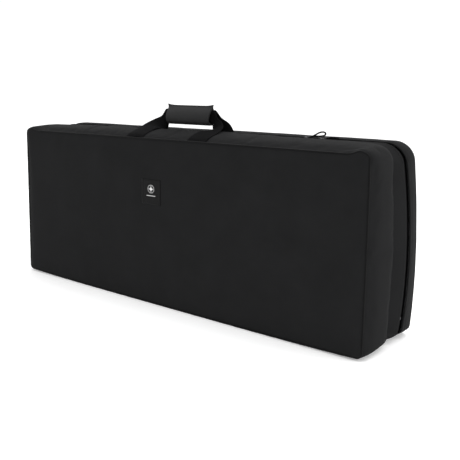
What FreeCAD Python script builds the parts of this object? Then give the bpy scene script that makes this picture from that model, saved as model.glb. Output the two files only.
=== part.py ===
"""Soft padded telescope carry case: a deep tray and a shallow lid, joined by a fabric hinge along the bottom
and a zip round the other three sides, with a two-strap carry handle. Millimetres. The case stands on its long
bottom gusset: +X runs along its length, the front panel faces -Y, the lid's back panel faces +Y and +Z is up.
The origin is on the floor, under the middle of the case."""
import math
import os
import re

import FreeCAD
import Part
import Sketcher
from FreeCAD import Placement, Rotation, Vector

# --------------------------------------------------------------------------------------------------------
# Driving dimensions: one cell each in the sheet "Dims" (millimetres, or degrees for the angles)
# --------------------------------------------------------------------------------------------------------
DIMENSIONS = {
    "case_length": 920,          # at the front seam
    "case_height": 365,          # floor to the front seam
    "case_depth": 186,           # front panel face to back panel face
    "zip_setback": 51,           # back panel face to the middle of the zip
    "zip_channel": 16,           # gap between the two fabric edges along the zip
    "band_depth": 45,            # unpadded part of the gusset, from the padding to the middle of the zip
    "front_corner": 16,          # outline radii, from the front seam to the back seam
    "padded_corner": 28,
    "zip_corner": 40,
    "back_tightening": 5,        # how much smaller the radius is at the back seam
    "padded_bow": 9,             # how far each end stands out past the front seam
    "zip_bow": 14,
    "back_bow": 10,
    "padded_rise": 10,           # how far the top stands above the front seam
    "zip_rise": 6,
    "back_rise": 5,
    "fabric_thickness": 1.2,
    "foam_thickness": 12,
    "lining_thickness": 0.8,
    "piping_size": 2.4,          # welt cord in the front and back seams
    "seam_gap": 0.1,             # between pieces that are laid side by side
    "tape_thickness": 0.7,
    "tape_overlap": 8,           # tape sewn under each fabric edge
    "tooth_height": 2.2,         # zip chain, across its thickness
    "tooth_width": 2.0,          # one row of teeth
    "row_gap": 1.4,              # between the two rows, where a slider's web runs
    "zip_end_height": 48,        # where the zip stops on each end
    "stop_length": 6,
    "hinge_gap": 0.2,            # each side of the hinge line
    "label_size": 55,
    "label_thickness": 0.6,
    "label_offset": -29,         # label middle, along the case
    "label_height": 252,         # label middle, above the floor
    "webbing_width": 50,
    "webbing_thickness": 2,
    "strap_spacing": 172,        # between the two ends of one strap
    "grip_length": 120,
    "grip_lead": 1,              # middle of the grip ahead of the padding's back edge
    "grip_clearance": 27,        # front seam level to the underside of the grip
    "grip_height": 35,           # padded sleeve, without the fin that closes it
    "grip_thickness": 31,
    "grip_corner": 14,
    "grip_padding": 2.6,
    "fin_height": 6,
    "fin_thickness": 1.4,
    "hook_thickness": 1,         # hook strip, and loop strip
    "core_height": 26,           # webbing inside the sleeve, turned on edge
    "core_gap": 1,               # each side of the grip's middle plane
    "slider_offset": 276,        # where the two sliders meet, along the case
    "slider_length": 22,
    "slider_width": 12,
    "slider_plate": 1.4,
    "slider_play": 0.3,          # running clearance above and below the teeth
    "slider_web": 0.8,
    "slider_gap": 0.5,           # each side of the meeting point
    "pivot_offset": 16,          # pull pivot to the meeting point
    "pivot_height": 1.3,         # pull pivot above the slider's top plate
    "bridge_outer": 4.4,         # radii of the bridge that holds the pull
    "bridge_inner": 2.8,
    "bridge_width": 3,
    "tab_length": 10,
    "tab_width": 8,
    "tab_thickness": 1.4,
    "tab_rail": 1.8,
    "tab_web": 3,                # solid end of the tab
    "pin_radius": 0.9,
    "ferrule_length": 4.5,
    "ferrule_width": 7,
    "ferrule_thickness": 3.6,
    "left_pull_angle": 14,       # this pull lies over the other slider
    "right_pull_angle": 3,
    "cord_diameter": 3.2,
    "cradle_offset": 225,        # case middle to the middle of each cradle
    "cradle_width": 60,
    "cradle_length": 240,
    "cradle_height": 96,
    "cradle_floor": 22,          # foam under the tube
    "tube_radius": 56,           # tube seat
    "cradle_clearance": 0.2,
}

doc = FreeCAD.newDocument("telescope_carry_case")
sheet = doc.addObject("Spreadsheet::Sheet", "Dims")
for row, (alias, size) in enumerate(DIMENSIONS.items(), start=1):
    sheet.set(f"A{row}", alias)
    sheet.set(f"B{row}", str(size))
    sheet.setAlias(f"B{row}", alias)
doc.recompute()

# Stations, as formulas of the driving dimensions
FRONT = "(-case_depth / 2)"
BACK = "(case_depth / 2)"
FRONT_SEAM = f"({FRONT} + piping_size)"
BACK_SEAM = f"({BACK} - piping_size)"
ZIP = f"({BACK} - zip_setback)"
PADDED = f"({ZIP} - band_depth)"
CHANNEL = "(zip_channel / 2)"
FACE = "(0 * fabric_thickness)"
SKIN = "fabric_thickness"
BOARD = "(fabric_thickness + foam_thickness)"
WALL = "(fabric_thickness + foam_thickness + lining_thickness)"
TAPE = "(fabric_thickness + tape_thickness)"
LID_WALL = "(fabric_thickness + lining_thickness)"
CHAIN_DEPTH = "(fabric_thickness + tape_thickness / 2)"
TEETH_TOP = f"({CHAIN_DEPTH} - tooth_height / 2)"
TEETH_BOTTOM = f"({CHAIN_DEPTH} + tooth_height / 2)"
ROW_INNER = "(row_gap / 2)"
ROW_OUTER = "(row_gap / 2 + tooth_width)"
END = "(case_length / 2 - zip_corner)"
FAR = "(case_length)"
MIDDLE = "(case_height / 2)"
ZIP_HALF = "(case_length / 2 + zip_bow)"
ZIP_TOP = "(case_height + zip_rise)"
GRIP = f"({PADDED} - grip_lead)"
GRIP_BOTTOM = "(case_height + grip_clearance)"
GRIP_TOP = "(case_height + grip_clearance + grip_height)"
GRIP_HALF = "(grip_length / 2)"

# Outline at each station: depth, half length, top and corner radius; it is level across the zip and its tapes
STATIONS = {
    "front": (FRONT_SEAM, "(case_length / 2)", "(case_height)", "front_corner"),
    "padded": (PADDED, "(case_length / 2 + padded_bow)", "(case_height + padded_rise)", "padded_corner"),
    "body_tape": (f"({ZIP} - {CHANNEL} - tape_overlap)", ZIP_HALF, ZIP_TOP, "zip_corner"),
    "zip": (ZIP, ZIP_HALF, ZIP_TOP, "zip_corner"),
    "lid_tape": (f"({ZIP} + {CHANNEL} + tape_overlap)", ZIP_HALF, ZIP_TOP, "zip_corner"),
    "back": (BACK_SEAM, "(case_length / 2 + back_bow)", "(case_height + back_rise)",
             "(zip_corner - back_tightening)"),
}
SECTIONS = {
    "tray": ("front", "padded"),
    "band": ("padded", "body_tape", "zip"),
    "lid": ("zip", "lid_tape", "back"),
}


def bound(formula):
    """A formula as a FreeCAD expression that reads the sheet."""
    return re.sub(r"[a-z]+(_[a-z]+)+", r"Dims.\g<0>", formula)


def value(formula):
    """What the formula comes to now."""
    return float(sheet.evalExpression(bound(formula)))


# --------------------------------------------------------------------------------------------------------
# Building blocks
# --------------------------------------------------------------------------------------------------------
PIECES = []


def piece(label, solid):
    """Names a finished sub-part, which is written under that name."""
    solid.Label = label
    PIECES.append(solid)
    return solid


def box(name, x, y, z):
    """A block between two formulas on each axis."""
    block = doc.addObject("Part::Box", name)
    for size, axis, (low, high) in zip(("Length", "Width", "Height"), "xyz", (x, y, z)):
        block.setExpression(size, bound(f"({high}) - ({low})"))
        block.setExpression(f"Placement.Base.{axis}", bound(low))
    return block


def boolean(kind, name, base, tool):
    """Cut or Common of two objects."""
    result = doc.addObject(f"Part::{kind}", name)
    result.Base = base
    result.Tool = tool
    return result


def fused(name, *shapes):
    """One solid out of several that touch."""
    result = doc.addObject("Part::MultiFuse", name)
    result.Shapes = list(shapes)
    return result


def cylinder(name, radius, length, centre):
    """A cylinder along Y, with its middle at the given point."""
    rod = doc.addObject("Part::Cylinder", name)
    rod.setExpression("Radius", bound(radius))
    rod.setExpression("Height", bound(length))
    rod.Placement.Rotation = Rotation(Vector(1, 0, 0), -90)
    rod.setExpression("Placement.Base.x", bound(centre[0]))
    rod.setExpression("Placement.Base.y", bound(f"({centre[1]}) - ({length}) / 2"))
    rod.setExpression("Placement.Base.z", bound(centre[2]))
    return rod


def rounded_outline(body, name, plane, offset, across, upright, radius):
    """A rounded rectangle on one of the body's origin planes, moved along that plane's normal."""
    sketch = body.newObject("Sketcher::SketchObject", name)
    support = next(item for item in body.Origin.OriginFeatures if item.Role == plane)
    sketch.AttachmentSupport = [(support, "")]
    sketch.MapMode = "FlatFace"
    sketch.setExpression("AttachmentOffset.Base.z", bound(offset))
    left, right = (value(edge) for edge in across)
    low, high = (value(edge) for edge in upright)
    bend = value(radius)
    corners = ((right, low, -90), (right, high, 0), (left, high, 90), (left, low, 180))
    inward = {right: -bend, left: bend, low: bend, high: -bend}
    arcs = []
    for u, v, start in corners:
        circle = Part.Circle(Vector(u + inward[u], v + inward[v], 0), Vector(0, 0, 1), bend)
        arcs.append(Part.ArcOfCircle(circle, math.radians(start), math.radians(start + 90)))
    sides = []
    for before, after in zip(arcs[-1:] + arcs[:-1], arcs):
        sides.append(Part.LineSegment(before.EndPoint, after.StartPoint))
    # Sides 0-3 are the bottom, right, top and left; arcs 4-7 follow them
    sketch.addGeometry(sides + arcs, False)
    rules = [Sketcher.Constraint("Horizontal", 0), Sketcher.Constraint("Vertical", 1),
             Sketcher.Constraint("Horizontal", 2), Sketcher.Constraint("Vertical", 3)]
    for corner in range(4):
        rules.append(Sketcher.Constraint("Tangent", corner, 2, 4 + corner, 1))
        rules.append(Sketcher.Constraint("Tangent", 4 + corner, 2, (corner + 1) % 4, 1))
        if corner:
            rules.append(Sketcher.Constraint("Equal", 4, 4 + corner))
    sketch.addConstraint(rules)
    driven = (("Radius", (4,), bend, radius),
              ("DistanceY", (-1, 1, 0, 1), low, upright[0]), ("DistanceY", (-1, 1, 2, 1), high, upright[1]),
              ("DistanceX", (-1, 1, 1, 1), right, across[1]), ("DistanceX", (-1, 1, 3, 1), left, across[0]))
    for kind, points, now, formula in driven:
        index = sketch.addConstraint(Sketcher.Constraint(kind, *points, now))
        sketch.setExpression(f"Constraints[{index}]", bound(formula))
    return sketch


def case_outline(body, name, station, inset):
    """The case's outline at a station, drawn in by the inset on every side."""
    depth, half, top, radius = STATIONS[station]
    across = (f"-({half} - {inset})", f"{half} - {inset}")
    upright = (inset, f"{top} - {inset}")
    corner = f"max({radius} - {inset}; 1)"
    return rounded_outline(body, name, "XZ_Plane", f"-({depth})", across, upright, corner)


envelopes = {}


def envelope(section, inset):
    """The solid that one section of the case fills, drawn in by the inset."""
    if (section, inset) not in envelopes:
        name = f"{section}_envelope_{len(envelopes)}"
        body = doc.addObject("PartDesign::Body", name)
        ends = [case_outline(body, f"{name}_{station}", station, inset) for station in SECTIONS[section]]
        loft = body.newObject("PartDesign::AdditiveLoft", f"{name}_loft")
        loft.Profile = ends[0]
        loft.Sections = ends[1:]
        loft.Ruled = True
        body.Tip = loft
        envelopes[section, inset] = body
    return envelopes[section, inset]


rings = {}


def ring(section, outer, inner):
    """The layer of one section between two insets, all the way round."""
    if (section, outer, inner) not in rings:
        name = f"{section}_ring_{len(rings)}"
        layer = boolean("Cut", name, envelope(section, outer), envelope(section, inner))
        rings[section, outer, inner] = layer
    return rings[section, outer, inner]


def slice_of(label, layer, x=(f"-{FAR}", FAR), y=(FRONT, BACK), z=("-case_height", "2 * case_height")):
    """The part of a layer inside a block."""
    return piece(label, boolean("Common", f"{label}_slice", layer, box(f"{label}_block", x, y, z)))


QUARTERS = {
    "top": ((f"-{END}", END), (MIDDLE, "2 * case_height")),
    "bottom": ((f"-{END}", END), (FACE, MIDDLE)),
    "left": ((f"-{FAR}", f"-{END}"), ("-case_height", "2 * case_height")),
    "right": ((END, FAR), ("-case_height", "2 * case_height")),
}


def quarter(label, section, outer, inner, side, y):
    """The top, bottom, left or right panel of a layer; the corners go with the left and right."""
    x, z = QUARTERS[side]
    if side == "bottom":
        return piece(label, box(f"{label}_flat", x, y, (outer, inner)))
    return slice_of(label, ring(section, outer, inner), x, y, z)


def prism(name, plane, outline, start, length):
    """A rounded rectangle (across, upright, radius) drawn at the start and padded along the plane's normal."""
    body = doc.addObject("PartDesign::Body", name)
    sketch = rounded_outline(body, f"{name}_outline", plane, start, *outline)
    pad = body.newObject("PartDesign::Pad", f"{name}_pad")
    pad.Profile = sketch
    pad.setExpression("Length", bound(length))
    body.Tip = pad
    return body


def board(name, station, inset, low, high):
    """A flat layer of the front or back panel between two depths."""
    half, top, radius = STATIONS[station][1:]
    across = (f"-({half} - {inset})", f"{half} - {inset}")
    outline = (across, (inset, f"{top} - {inset}"), f"max({radius} - {inset}; 1)")
    # The XZ plane faces -Y, so the layer is padded forward from its back face
    return prism(name, "XZ_Plane", outline, f"-({high})", f"({high}) - ({low})")


# --------------------------------------------------------------------------------------------------------
# Shell
# --------------------------------------------------------------------------------------------------------
def panel(side, station, face, inward, edge_wall):
    """Fabric, foam board, lining and piping of the front or back panel, from its face inwards."""
    def layer(label, inset, near, far):
        if inward > 0:
            return board(label, station, inset, f"{face} + {near}", f"{face} + {far}")
        return board(label, station, inset, f"{face} - {far}", f"{face} - {near}")

    piece(f"{side}_panel", layer(f"{side}_panel_fabric", "(piping_size + seam_gap)", "0", SKIN))
    inside = f"(max({edge_wall}; piping_size) + seam_gap)"
    piece(f"{side}_foam_board", layer(f"{side}_board", inside, SKIN, BOARD))
    piece(f"{side}_lining", layer(f"{side}_lining_sheet", inside, BOARD, WALL))
    outer = layer(f"{side}_piping_outer", FACE, "0", "piping_size")
    inner = layer(f"{side}_piping_inner", "(piping_size)", "0", "piping_size")
    piece(f"{side}_piping", boolean("Cut", f"{side}_piping_ring", outer, inner))


def tray():
    """Padded gusset of the tray: fabric, four foam boards and one lining."""
    for side in QUARTERS:
        quarter(f"{side}_gusset", "tray", FACE, SKIN, side, (FRONT_SEAM, PADDED))
        quarter(f"{side}_foam_board", "tray", SKIN, BOARD, side, (FRONT_SEAM, PADDED))
    slice_of("gusset_lining", ring("tray", BOARD, WALL), y=(FRONT_SEAM, PADDED))


def zip_band():
    """Unpadded band between the padded gusset and the zip. Its bottom runs on to the hinge line."""
    for side in QUARTERS:
        edge = "hinge_gap" if side == "bottom" else CHANNEL
        quarter(f"{side}_zip_band", "band", FACE, SKIN, side, (PADDED, f"{ZIP} - {edge}"))


def lid():
    """Gusset of the lid. Its bottom starts at the hinge line."""
    for side in QUARTERS:
        edge = "hinge_gap" if side == "bottom" else CHANNEL
        quarter(f"lid_{side}_gusset", "lid", FACE, SKIN, side, (f"{ZIP} + {edge}", BACK_SEAM))
    behind_tape = (f"{ZIP} + {CHANNEL} + tape_overlap", BACK_SEAM)
    slice_of("lid_gusset_lining", ring("lid", SKIN, LID_WALL), y=behind_tape)


def zip_half(half, section, sign):
    """Tape, teeth and end stops on one side of the zip."""
    def depths(near, far):
        near, far = f"{ZIP} + ({sign}) * ({near})", f"{ZIP} + ({sign}) * ({far})"
        return (near, far) if sign > 0 else (far, near)

    tape = ring(section, SKIN, TAPE)
    teeth = ring(section, TEETH_TOP, TEETH_BOTTOM)
    above_floor = (f"{TAPE} + seam_gap", "2 * case_height")
    slice_of(f"zip_tape_{half}", tape, y=depths(ROW_OUTER, f"{CHANNEL} + tape_overlap"), z=above_floor)
    toothed = ("zip_end_height", "2 * case_height")
    slice_of(f"zip_teeth_{half}", teeth, y=depths(ROW_INNER, ROW_OUTER), z=toothed)
    stop_z = ("zip_end_height - stop_length", "zip_end_height")
    slice_of(f"zip_stops_{half}", teeth, y=depths(ROW_INNER, ROW_OUTER), z=stop_z)


def label():
    """Square patch sewn on the front panel."""
    x = ("label_offset - label_size / 2", "label_offset + label_size / 2")
    z = ("label_height - label_size / 2", "label_height + label_size / 2")
    piece("label", box("label_patch", x, (f"{FRONT} - label_thickness", FRONT), z))


def cradle(side, sign):
    """Foam block with a U seat for the telescope tube, standing on the front lining."""
    low = f"{FRONT} + {WALL} + cradle_clearance"
    seat = f"{low} + cradle_floor + tube_radius"
    middle = f"({sign}) * cradle_offset"
    x = (f"{middle} - cradle_width / 2", f"{middle} + cradle_width / 2")
    block = box(f"{side}_cradle_block", x, (low, f"{low} + cradle_height"),
                (f"{MIDDLE} - cradle_length / 2", f"{MIDDLE} + cradle_length / 2"))
    mouth = box(f"{side}_cradle_mouth", x, (seat, f"{low} + 2 * cradle_height"),
                (f"{MIDDLE} - tube_radius", f"{MIDDLE} + tube_radius"))
    bore = doc.addObject("Part::Cylinder", f"{side}_cradle_bore")
    bore.setExpression("Radius", bound("tube_radius"))
    bore.setExpression("Height", bound("cradle_width"))
    bore.Placement.Rotation = Rotation(Vector(0, 1, 0), 90)
    for axis, formula in zip("xyz", (x[0], seat, MIDDLE)):
        bore.setExpression(f"Placement.Base.{axis}", bound(formula))
    space = fused(f"{side}_cradle_space", bore, mouth)
    piece(f"{side}_cradle", boolean("Cut", f"{side}_cradle_seat", block, space))


# --------------------------------------------------------------------------------------------------------
# Handle
# --------------------------------------------------------------------------------------------------------
def grip():
    """Padded sleeve closed over the two straps by hook and loop. Its front half folds open."""
    def sleeve(name, inset):
        half = f"(grip_thickness / 2 - {inset})"
        through = (f"{GRIP} - {half}", f"{GRIP} + {half}")
        outline = (through, (f"{GRIP_BOTTOM} + {inset}", f"{GRIP_TOP} - {inset}"), f"grip_corner - {inset}")
        return prism(name, "YZ_Plane", outline, f"-{GRIP_HALF}", "grip_length")

    outer = sleeve("grip_outside", FACE)
    under_cover = sleeve("grip_under_cover", SKIN)
    inside = sleeve("grip_inside", f"({SKIN} + grip_padding)")
    covers = boolean("Cut", "grip_covers", outer, under_cover)
    pads = boolean("Cut", "grip_pads", under_cover, inside)
    x = (f"-{GRIP_HALF}", GRIP_HALF)
    fin_z = (GRIP_TOP, f"{GRIP_TOP} + fin_height")
    hook_z = (f"{GRIP_TOP} + seam_gap", f"{GRIP_TOP} + fin_height")
    halves = (("rear", "loop", 1), ("front", "hook", -1))
    for side, strip, sign in halves:
        def depths(near, far):
            ends = (f"{GRIP} + ({sign}) * ({near})", f"{GRIP} + ({sign}) * ({far})")
            return ends if sign > 0 else ends[::-1]

        beyond = depths("seam_gap", "grip_thickness")
        upright = (GRIP_BOTTOM, GRIP_TOP)
        half = box(f"{side}_grip_half", x, beyond, upright)
        cover = boolean("Common", f"{side}_grip_shell", covers, half)
        # The fin stands on the sleeve's top wall
        root = box(f"{side}_grip_fin", x, depths("hook_thickness", "hook_thickness + fin_thickness"),
                   (f"{GRIP_TOP} - {SKIN} / 2", fin_z[1]))
        piece(f"{side}_grip_cover", fused(f"{side}_grip_cover_whole", cover, root))
        slice_of(f"{side}_grip_pad", pads, x, beyond, upright)
        piece(f"grip_{strip}_strip", box(f"{strip}_strip", x, depths("seam_gap", "hook_thickness"), hook_z))
        middle = f"({GRIP_BOTTOM} + grip_height / 2)"
        core_z = (f"{middle} - core_height / 2", f"{middle} + core_height / 2")
        core = box(f"{side}_webbing", x, depths("core_gap", "core_gap + webbing_thickness"), core_z)
        piece(f"{side}_grip_webbing", core)


def section_corners(middle, across, half_thickness):
    """Corners of a strap's section, whose thickness lies along Y."""
    through = Vector(0, half_thickness, 0)
    return [middle + across + through, middle + across - through, middle - across - through,
            middle - across + through]


def ruled_solid(lower, upper):
    """A solid between two four-cornered sections, corner to corner."""
    sides = []
    for corner in range(4):
        onward = (corner + 1) % 4
        sides.append(Part.makeRuledSurface(Part.makeLine(lower[corner], lower[onward]),
                                           Part.makeLine(upper[corner], upper[onward])))
    caps = [Part.Face(Part.makePolygon(corners + corners[:1])) for corners in (lower, upper)]
    shell = Part.makeShell(sides + caps)
    shell.sewShape()
    solid = Part.makeSolid(shell)
    return solid if solid.Volume > 0 else solid.reversed()


def strap_end(label, side, row):
    """One strap from its seam up to the grip, turning from flat to on edge on the way."""
    thickness = value("webbing_thickness")
    lean = 1 if row == "front" else -1
    depth = value(FRONT_SEAM if row == "front" else PADDED) + lean * thickness
    # The padded top rises from the front seam to its back edge
    climb = (depth + thickness / 2 - value(FRONT_SEAM)) / (value(PADDED) - value(FRONT_SEAM))
    floor = value("case_height") + climb * value("padded_rise")
    seam = Vector(side * value("strap_spacing / 2"), depth, floor + value("seam_gap"))
    core = value("core_gap + webbing_thickness / 2")
    mouth = Vector(side * value(f"{GRIP_HALF}"), value(GRIP) - lean * core,
                   value(f"{GRIP_BOTTOM} + grip_height / 2"))
    foot_corners = section_corners(seam, Vector(side * value("webbing_width / 2"), 0, 0), thickness / 2)
    mouth_corners = section_corners(mouth, Vector(0, 0, value("core_height / 2")), thickness / 2)
    strap = doc.addObject("Part::Feature", f"{label}_band")
    strap.Shape = ruled_solid(foot_corners, mouth_corners)
    strap.Placement = Placement()
    piece(label, strap)


# --------------------------------------------------------------------------------------------------------
# Zip sliders and their pulls
# --------------------------------------------------------------------------------------------------------
CHAIN_HEIGHT = f"({ZIP_TOP} - {CHAIN_DEPTH})"
PLATE_GAP = "(tooth_height / 2 + slider_play)"
PLATE_TOP = f"({CHAIN_HEIGHT} + {PLATE_GAP} + slider_plate)"
PIVOT_HEIGHT = f"({PLATE_TOP} + pivot_height)"


def slider(label, sign):
    """Two plates and a web round the chain, and the bridge that its pull hangs on."""
    near = f"slider_offset + ({sign}) * slider_gap"
    far = f"slider_offset + ({sign}) * (slider_gap + slider_length)"
    x = (near, far) if sign > 0 else (far, near)
    y = (f"{ZIP} - slider_width / 2", f"{ZIP} + slider_width / 2")
    upper = box(f"{label}_upper", x, y, (f"{CHAIN_HEIGHT} + {PLATE_GAP}", PLATE_TOP))
    below = (f"{CHAIN_HEIGHT} - {PLATE_GAP} - slider_plate", f"{CHAIN_HEIGHT} - {PLATE_GAP}")
    lower = box(f"{label}_lower", x, y, below)
    web = box(f"{label}_web", x, (f"{ZIP} - slider_web / 2", f"{ZIP} + slider_web / 2"),
              (f"{CHAIN_HEIGHT} - {PLATE_GAP}", f"{CHAIN_HEIGHT} + {PLATE_GAP}"))
    pivot = (f"slider_offset + ({sign}) * pivot_offset", ZIP, PLATE_TOP)
    outer = cylinder(f"{label}_arch_outer", "bridge_outer", "bridge_width", pivot)
    inner = cylinder(f"{label}_arch_inner", "bridge_inner", "bridge_width", pivot)
    arch = boolean("Cut", f"{label}_arch", outer, inner)
    above = box(f"{label}_arch_space", (f"{pivot[0]} - bridge_outer", f"{pivot[0]} + bridge_outer"), y,
                (f"{PLATE_TOP} - slider_plate / 2", f"{PLATE_TOP} + bridge_outer"))
    bridge = boolean("Common", f"{label}_bridge", arch, above)
    piece(label, fused(f"{label}_body", upper, lower, web, bridge))


def pull_placement(sign, angle):
    """From the pull's own frame, pivot at its origin and pointing along X, to its place on the slider."""
    pivot = Vector(value(f"slider_offset + ({sign}) * pivot_offset"), value(ZIP), value(PIVOT_HEIGHT))
    return Placement(pivot, Rotation(Vector(0, -1, 0), value(angle)))


def pull_hardware(side, sign, angle):
    """Metal tab with a pin through the bridge, and the ferrule crimped on its solid end."""
    length, width, thickness = (value(name) for name in ("tab_length", "tab_width", "tab_thickness"))
    rail, web, pin = (value(name) for name in ("tab_rail", "tab_web", "pin_radius"))
    plate = Part.makeBox(length, width, thickness, Vector(0, -width / 2, -thickness / 2))
    corner = Vector(0, rail - width / 2, -thickness / 2)
    window = Part.makeBox(length - web, width - 2 * rail, thickness, corner)
    bar = Part.makeCylinder(pin, width, Vector(0, -width / 2, 0), Vector(0, 1, 0))
    tab = doc.addObject("Part::Feature", f"{side}_tab")
    tab.Shape = plate.cut(window).fuse(bar).removeSplitter()
    tab.Placement = pull_placement(sign, angle)
    piece(f"{side}_pull_tab", tab)
    ferrule_width, ferrule_thickness = value("ferrule_width"), value("ferrule_thickness")
    sleeve = Part.makeBox(value("ferrule_length"), ferrule_width, ferrule_thickness,
                          Vector(length, -ferrule_width / 2, -ferrule_thickness / 2))
    long_edges = [edge for edge in sleeve.Edges if abs(edge.tangentAt(edge.FirstParameter).x) > 0.9]
    ferrule = doc.addObject("Part::Feature", f"{side}_sleeve")
    ferrule.Shape = sleeve.makeFillet(min(1.2, ferrule_thickness / 3), long_edges)
    ferrule.Placement = pull_placement(sign, angle)
    piece(f"{side}_pull_ferrule", ferrule)


# Each loop of cord leaves the ferrule, turns at its far end and comes back: in the pull's frame, counted from
# the ferrule's outer face
LEFT_LOOP = ((0, 1.7, 0), (8, 2.5, 2.0), (17, 1.8, 4.4), (25, 1.7, 4.0), (30.5, 0.7, 1.3),
             (30.9, -0.9, -2.4), (26, -1.8, -4.0), (17, -1.8, -3.0), (8, -2.4, -0.8), (0, -1.7, 0))
RIGHT_LOOP = ((0, 1.7, 0), (6, 2.6, 1.4), (13.5, 3.9, 2.6), (21, 4.2, 1.8), (26.5, 2.3, -0.4),
              (27.6, -1.5, -0.9), (23, -4.2, 0.9), (14.5, -4.3, 2.4), (6.5, -2.8, 1.4), (0, -1.7, 0))


def cord_path(points):
    """Straight runs joined by tangent arcs, each as large as its two runs allow."""
    edges = []
    radii = []
    start = points[0]
    for before, corner, after in zip(points, points[1:], points[2:]):
        back = (before - corner).normalize()
        onward = (after - corner).normalize()
        turn = math.pi - back.getAngle(onward)
        reach = 0.45 * min(before.distanceToPoint(corner), after.distanceToPoint(corner))
        radius = reach / math.tan(turn / 2)
        middle = (back + onward).normalize()
        to_arc = radius / math.cos(turn / 2) - radius
        leave, join = corner + back * reach, corner + onward * reach
        edges.append(Part.LineSegment(start, leave).toShape())
        edges.append(Part.Arc(leave, corner + middle * to_arc, join).toShape())
        radii.append(round(radius, 1))
        start = join
    edges.append(Part.LineSegment(start, points[-1]).toShape())
    return Part.Wire(edges), radii


def pull_cord(side, sign, angle, loop):
    """Loop of round cord, both ends in the ferrule."""
    reach = value("tab_length + ferrule_length")
    points = [Vector(reach + along, across, above) for along, across, above in loop]
    path, radii = cord_path(points)
    radius = value("cord_diameter / 2")
    profile = Part.Wire(Part.Circle(points[0], points[1] - points[0], radius).toShape())
    cord = doc.addObject("Part::Feature", f"{side}_loop")
    cord.Shape = path.makePipeShell([profile], True, False)
    expected = math.pi * radius ** 2 * path.Length
    print(f"{side}_pull_cord: length {path.Length:.1f}, radii {radii}, volume / expected "
          f"{cord.Shape.Volume / expected:.4f}")
    cord.Placement = pull_placement(sign, angle)
    piece(f"{side}_pull_cord", cord)


# --------------------------------------------------------------------------------------------------------
# The whole case
# --------------------------------------------------------------------------------------------------------
panel("front", "front", FRONT, 1, WALL)
tray()
zip_band()
label()
cradle("left", -1)
cradle("right", 1)
zip_half("body", "band", -1)

panel("back", "back", BACK, -1, LID_WALL)
lid()
zip_half("lid", "lid", 1)

grip()
for end, side in (("left", -1), ("right", 1)):
    for row in ("front", "rear"):
        strap_end(f"{row}_{end}_strap", side, row)

pulls = (("left", -1, "left_pull_angle", LEFT_LOOP), ("right", 1, "right_pull_angle", RIGHT_LOOP))
for side, sign, angle, loop in pulls:
    slider(f"{side}_slider", sign)
    pull_hardware(side, sign, angle)
    pull_cord(side, sign, angle, loop)

doc.recompute()
faults = [item.Label for item in doc.Objects if {"Invalid", "Error"} & set(item.State)]
faults += [item.Label for item in PIECES if item.Shape.isNull() or not item.Shape.isValid()]
faults += [item.Label for item in PIECES if not item.Shape.Solids]
if faults:
    raise RuntimeError(f"not built: {faults}")
os.makedirs("parts", exist_ok=True)
for item in PIECES:
    item.Shape.exportStep(f"parts/{item.Label}.step")
print(len(PIECES), "pieces")
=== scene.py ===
import math

import bmesh
import bpy
import numpy as np
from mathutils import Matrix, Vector, noise
from mathutils.bvhtree import BVHTree


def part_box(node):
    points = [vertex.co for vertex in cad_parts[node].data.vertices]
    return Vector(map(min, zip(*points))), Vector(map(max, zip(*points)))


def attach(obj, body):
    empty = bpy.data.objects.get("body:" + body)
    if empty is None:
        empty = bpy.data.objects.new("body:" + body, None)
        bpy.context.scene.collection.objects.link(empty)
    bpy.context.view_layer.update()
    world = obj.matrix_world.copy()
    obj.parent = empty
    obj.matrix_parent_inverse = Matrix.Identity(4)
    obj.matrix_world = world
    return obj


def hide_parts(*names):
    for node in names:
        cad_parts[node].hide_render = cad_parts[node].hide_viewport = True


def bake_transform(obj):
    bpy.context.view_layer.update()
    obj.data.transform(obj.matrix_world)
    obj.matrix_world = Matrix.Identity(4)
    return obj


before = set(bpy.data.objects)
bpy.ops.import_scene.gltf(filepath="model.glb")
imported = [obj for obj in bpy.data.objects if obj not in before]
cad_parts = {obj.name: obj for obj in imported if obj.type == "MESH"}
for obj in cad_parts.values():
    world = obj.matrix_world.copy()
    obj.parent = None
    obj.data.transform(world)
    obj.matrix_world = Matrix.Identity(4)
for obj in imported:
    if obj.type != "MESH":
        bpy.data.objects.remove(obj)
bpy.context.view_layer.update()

# ---- Places and sizes, in metres, read from the frame where the CAD holds them ----
MM = 0.001


def low(node):
    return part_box(node)[0]


def high(node):
    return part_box(node)[1]


def middle_y(node):
    """Half way between a node's front and back."""
    return (low(node).y + high(node).y) / 2


FRONT = low("front_piping").y
BACK = high("back_piping").y
PADDED = high("top_gusset").y
ZIP = (high("zip_teeth_body").y + low("zip_teeth_lid").y) / 2
BAND_EDGE = high("top_zip_band").y
LID_EDGE = low("lid_top_gusset").y
HEIGHT = high("front_piping").z
HALF = high("front_piping").x
ZIP_TOP = high("lid_top_gusset").z
GRIP_BOTTOM = low("front_grip_cover").z
FIN_TOP = high("front_grip_cover").z
GRIP_HALF = high("front_grip_cover").x
GRIP = (high("front_grip_cover").y + low("rear_grip_cover").y) / 2
SKIN = 1.2 * MM
PIPING_RADIUS = 1.7 * MM


class Station:
    """The case's outline at one depth: a rounded rectangle whose ends, top and bottom are bowed."""

    def __init__(self, depth, half, bow, top, crown, corner, foot):
        self.depth, self.half, self.bow, self.top = depth, half, bow, top
        self.crown, self.corner, self.foot = crown, corner, foot

    def mixed(self, other, share):
        """The outline a share of the way to another station."""
        pairs = zip(vars(self).values(), vars(other).values())
        return Station(*(a + (b - a) * share for a, b in pairs))


# The bottom's ends lift off the floor and spread, and the front seam kicks up just before each top corner
CORNER_LIFT = 4 * MM
LEFT_SPREAD, END_SPREAD = 8 * MM, 10 * MM
CURL, CURL_PLACE, CURL_WIDTH, CURL_DEPTH = 7 * MM, HALF - 19 * MM, 12 * MM, 45 * MM
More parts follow.
